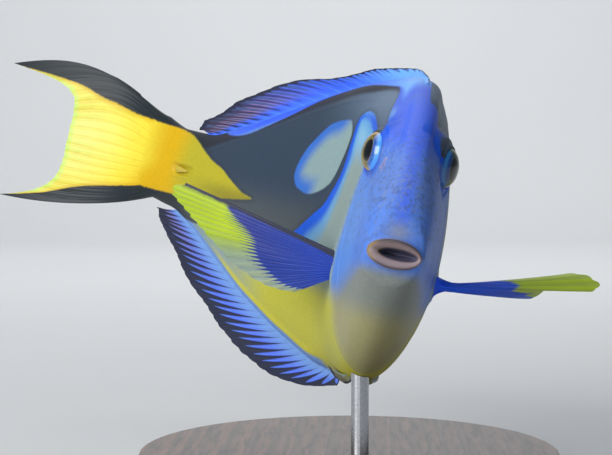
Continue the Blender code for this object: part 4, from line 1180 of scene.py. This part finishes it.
def make_spine(name, side):
    """The folding spine of the tail stalk: a flat, curved point that lies forward in its groove."""
    out = side_out(SPINE_ALONG, SPINE_UP) - SPINE_SUNK
    rear, _, above, outer = around(side, SPINE_ALONG, side * out, SPINE_UP)
    tip_along = SPINE_ALONG - SPINE_LENGTH / STANDARD_LENGTH
    tip = place(tip_along, side * (side_out(tip_along, SPINE_UP) + SPINE_RAISED), SPINE_UP)
    forward = unit(tip - rear)
    above = unit(above - forward * (above @ forward))
    flat_side = np.cross(forward, above)
    flat_side = flat_side * np.sign(flat_side @ outer)
    rows, sides = SPINE_GRID
    t = np.linspace(0, 1, rows)[:, None]
    turn = np.arange(sides)[None, :] * 2 * math.pi / sides
    size = SPINE_RADIUS * (1 - t ** 1.6) * (0.75 + 0.25 * ramp(0, 0.2, t)) + 0.00002
    bow = 0.0005 * np.sin(t * math.pi)
    ridge_up = 1.5 * size * np.sign(np.cos(turn)) * np.abs(np.cos(turn)) ** 1.3
    points = (rear + forward * (t * SPINE_LENGTH)[..., None] + above * ridge_up[..., None]
              + flat_side * (bow + 0.8 * size * np.sin(turn))[..., None])
    faces = grid_faces(rows, sides, closed=True)
    faces += [tuple(range(sides)), tuple(range((rows - 1) * sides, rows * sides))[::-1]]
    return mesh_piece(name, points, faces, {"t": t + 0 * turn})


def spine_material():
    g = Graph("tang_spine", 0.28, Coat_Weight=0.3, Coat_Roughness=0.1)
    streak = g.noise(g.space(), 1500.0, 3.0)
    colour = g.mix(g.value("t"), tone(196, 172, 44), tone(212, 190, 84))
    colour = g.mix(g.times(streak, 0.35), colour, tone(168, 140, 40))
    return g.finish(colour, streak, SPINE_RELIEF)


def wood_material():
    g = Graph("stand_wood", 0.40, Coat_Weight=0.35, Coat_Roughness=0.18)
    grain = g.stretched((60.0, 5.0, 60.0), (0.06, 0.04, 0.05))
    inputs = {"Vector": grain, "Scale": 0.9, "Distortion": 7.0, "Detail": 3.0, "Detail Scale": 1.2}
    bands = {"wave_type": "BANDS", "bands_direction": "X", "wave_profile": "SAW"}
    rings = g.node("TexWave", inputs, **bands).outputs["Fac"]
    fibres = g.noise(grain, 9.0, 5.0, 0.7)
    colour = g.mix(rings, tone(74, 46, 30), tone(112, 74, 48))
    colour = g.mix(g.ramp(0.42, 0.66, fibres), colour, tone(54, 34, 24))
    return g.finish(colour, fibres, WOOD_RELIEF, g.plus(0.32, g.times(fibres, 0.2)))


def steel_material():
    g = Graph("stand_steel", 0.28, Metallic=1.0)
    brushed = g.noise(g.stretched((900.0, 900.0, 14000.0)), 1.0, 2.0)
    colour = g.mix(brushed, tone(176, 178, 182), tone(206, 207, 210))
    return g.finish(colour, brushed, STEEL_RELIEF, g.plus(0.20, g.times(brushed, 0.16)))


def dress(piece, look, slot, *nodes):
    """Give a piece its material, set it on the model's body and let it stand for its nodes."""
    piece.data.materials.append(look)
    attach(piece, "root")
    if nodes:
        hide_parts(*nodes)


def make_fish():
    dress(make_skin(), skin_material(), "skin", "head", "torso", "tail_stalk")
    blue = fin_material("tang_fin_blue", FIN_BLACK, 0.20, FIN_SKY)
    dorsal = median_fin("dorsal_fin_fine", DORSAL, 2, dorsal_tones, fine=14)
    dress(dorsal, blue, "fin_blue", "dorsal_fin")
    dress(median_fin("anal_fin_fine", ANAL, 3, anal_tones), blue, "fin_blue", "anal_fin")
    yellow = fin_material("tang_fin_yellow", CAUDAL_BLACK, 0.40, tone(236, 196, 54))
    dress(make_caudal(), yellow, "fin_yellow", "caudal_fin")
    side_look = fin_material("tang_fin_side", FIN_BLACK, 0.22, PECTORAL_DEEP * 0.8, clear=True)
    right = pectoral_fin("pectoral_fin_right_fine", -1, RIGHT_SWEEPS, RIGHT_RISES, PECTORAL_LENGTHS,
                         RIGHT_BLUE, PECTORAL_BLUE, 6)
    dress(right, side_look, "fin_blue", "pectoral_fin_right")
    # The left side fin gets a lighter blue than the right one: painted light
    left = pectoral_fin("pectoral_fin_left_fine", 1, LEFT_SWEEPS, LEFT_RISES, LEFT_LENGTHS,
                        LEFT_BLUE, PECTORAL_LIT_BLUE, 7, LEFT_GATHER)
    dress(left, side_look, "fin_blue", "pectoral_fin_left")
    eye_look = eye_material()
    spine_look = spine_material()
    for side, word in ((1, "left"), (-1, "right")):
        dress(pelvic_fin("pelvic_fin_" + word + "_fine", side), blue, "fin_blue", "pelvic_fin_" + word)
        dress(make_eye("eye_" + word + "_dome", side), eye_look, "eye", "eye_" + word)
        dress(make_spine("tail_spine_" + word, side), spine_look, "skin")


def dress_stand():
    for node, look in (("stand_base", wood_material()), ("stand_rod", steel_material())):
        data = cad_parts[node].data
        data.materials.clear()
        data.materials.append(look)


def make_room():
    """A plain pale floor that curves up into a backdrop, and soft lights."""
    profile = [(-2.5, 0.0), (1.6, 0.0)]
    bend = np.linspace(0.1, math.pi / 2, 16)
    profile += [(1.6 + 0.6 * math.sin(a), 0.6 - 0.6 * math.cos(a)) for a in bend]
    profile += [(2.2, 3.0)]
    points = [(x, y, z - 0.0002) for y, z in profile for x in (-3.0, 3.0)]
    floor = mesh_piece("floor", points, grid_faces(len(profile), 2, closed=False))
    g = Graph("pale_floor", 0.75)
    colour = g.mix(g.noise(g.space(), 3.0, 3.0), tone(206, 208, 210), tone(214, 215, 216))
    floor.data.materials.append(g.finish(colour))
    world = bpy.data.worlds.new("studio")
    world.use_nodes = True
    background = world.node_tree.nodes["Background"]
    background.inputs[0].default_value = SKY
    background.inputs[1].default_value = SKY_STRENGTH
    bpy.context.scene.world = world
    for name, where, aim, size, power, colour in LAMPS:
        lamp = bpy.data.lights.new(name, "AREA")
        lamp.size = size
        lamp.energy = power
        lamp.color = colour
        obj = bpy.data.objects.new(name, lamp)
        obj.location = where
        obj.rotation_euler = (Vector(aim) - Vector(where)).to_track_quat("-Z", "Y").to_euler()
        bpy.context.scene.collection.objects.link(obj)


def make_camera():
    """The photograph's viewing angle: nearly level, straight at the face."""
    azimuth, level = CAMERA_AZIMUTH, math.cos(CAMERA_ELEVATION)
    back = np.array([math.sin(azimuth) * level, -math.cos(azimuth) * level, math.sin(CAMERA_ELEVATION)])
    right = np.array([math.cos(azimuth), math.sin(azimuth), 0.0])
    above = np.cross(back, right)
    target = place(CAMERA_AIM, 0.0, 0.0) + right * CAMERA_SHIFT[0] + above * CAMERA_SHIFT[1]
    data = bpy.data.cameras.new("camera")
    data.sensor_width = 36.0
    data.lens = CAMERA_LENS
    data.clip_start = 0.01
    camera = bpy.data.objects.new("camera", data)
    camera.location = target + back * CAMERA_DISTANCE
    camera.rotation_euler = Vector(-back).to_track_quat("-Z", "Y").to_euler()
    bpy.context.scene.collection.objects.link(camera)
    bpy.context.scene.camera = camera


bpy.context.scene.view_settings.view_transform = "Standard"
make_fish()
dress_stand()
make_room()
make_camera()
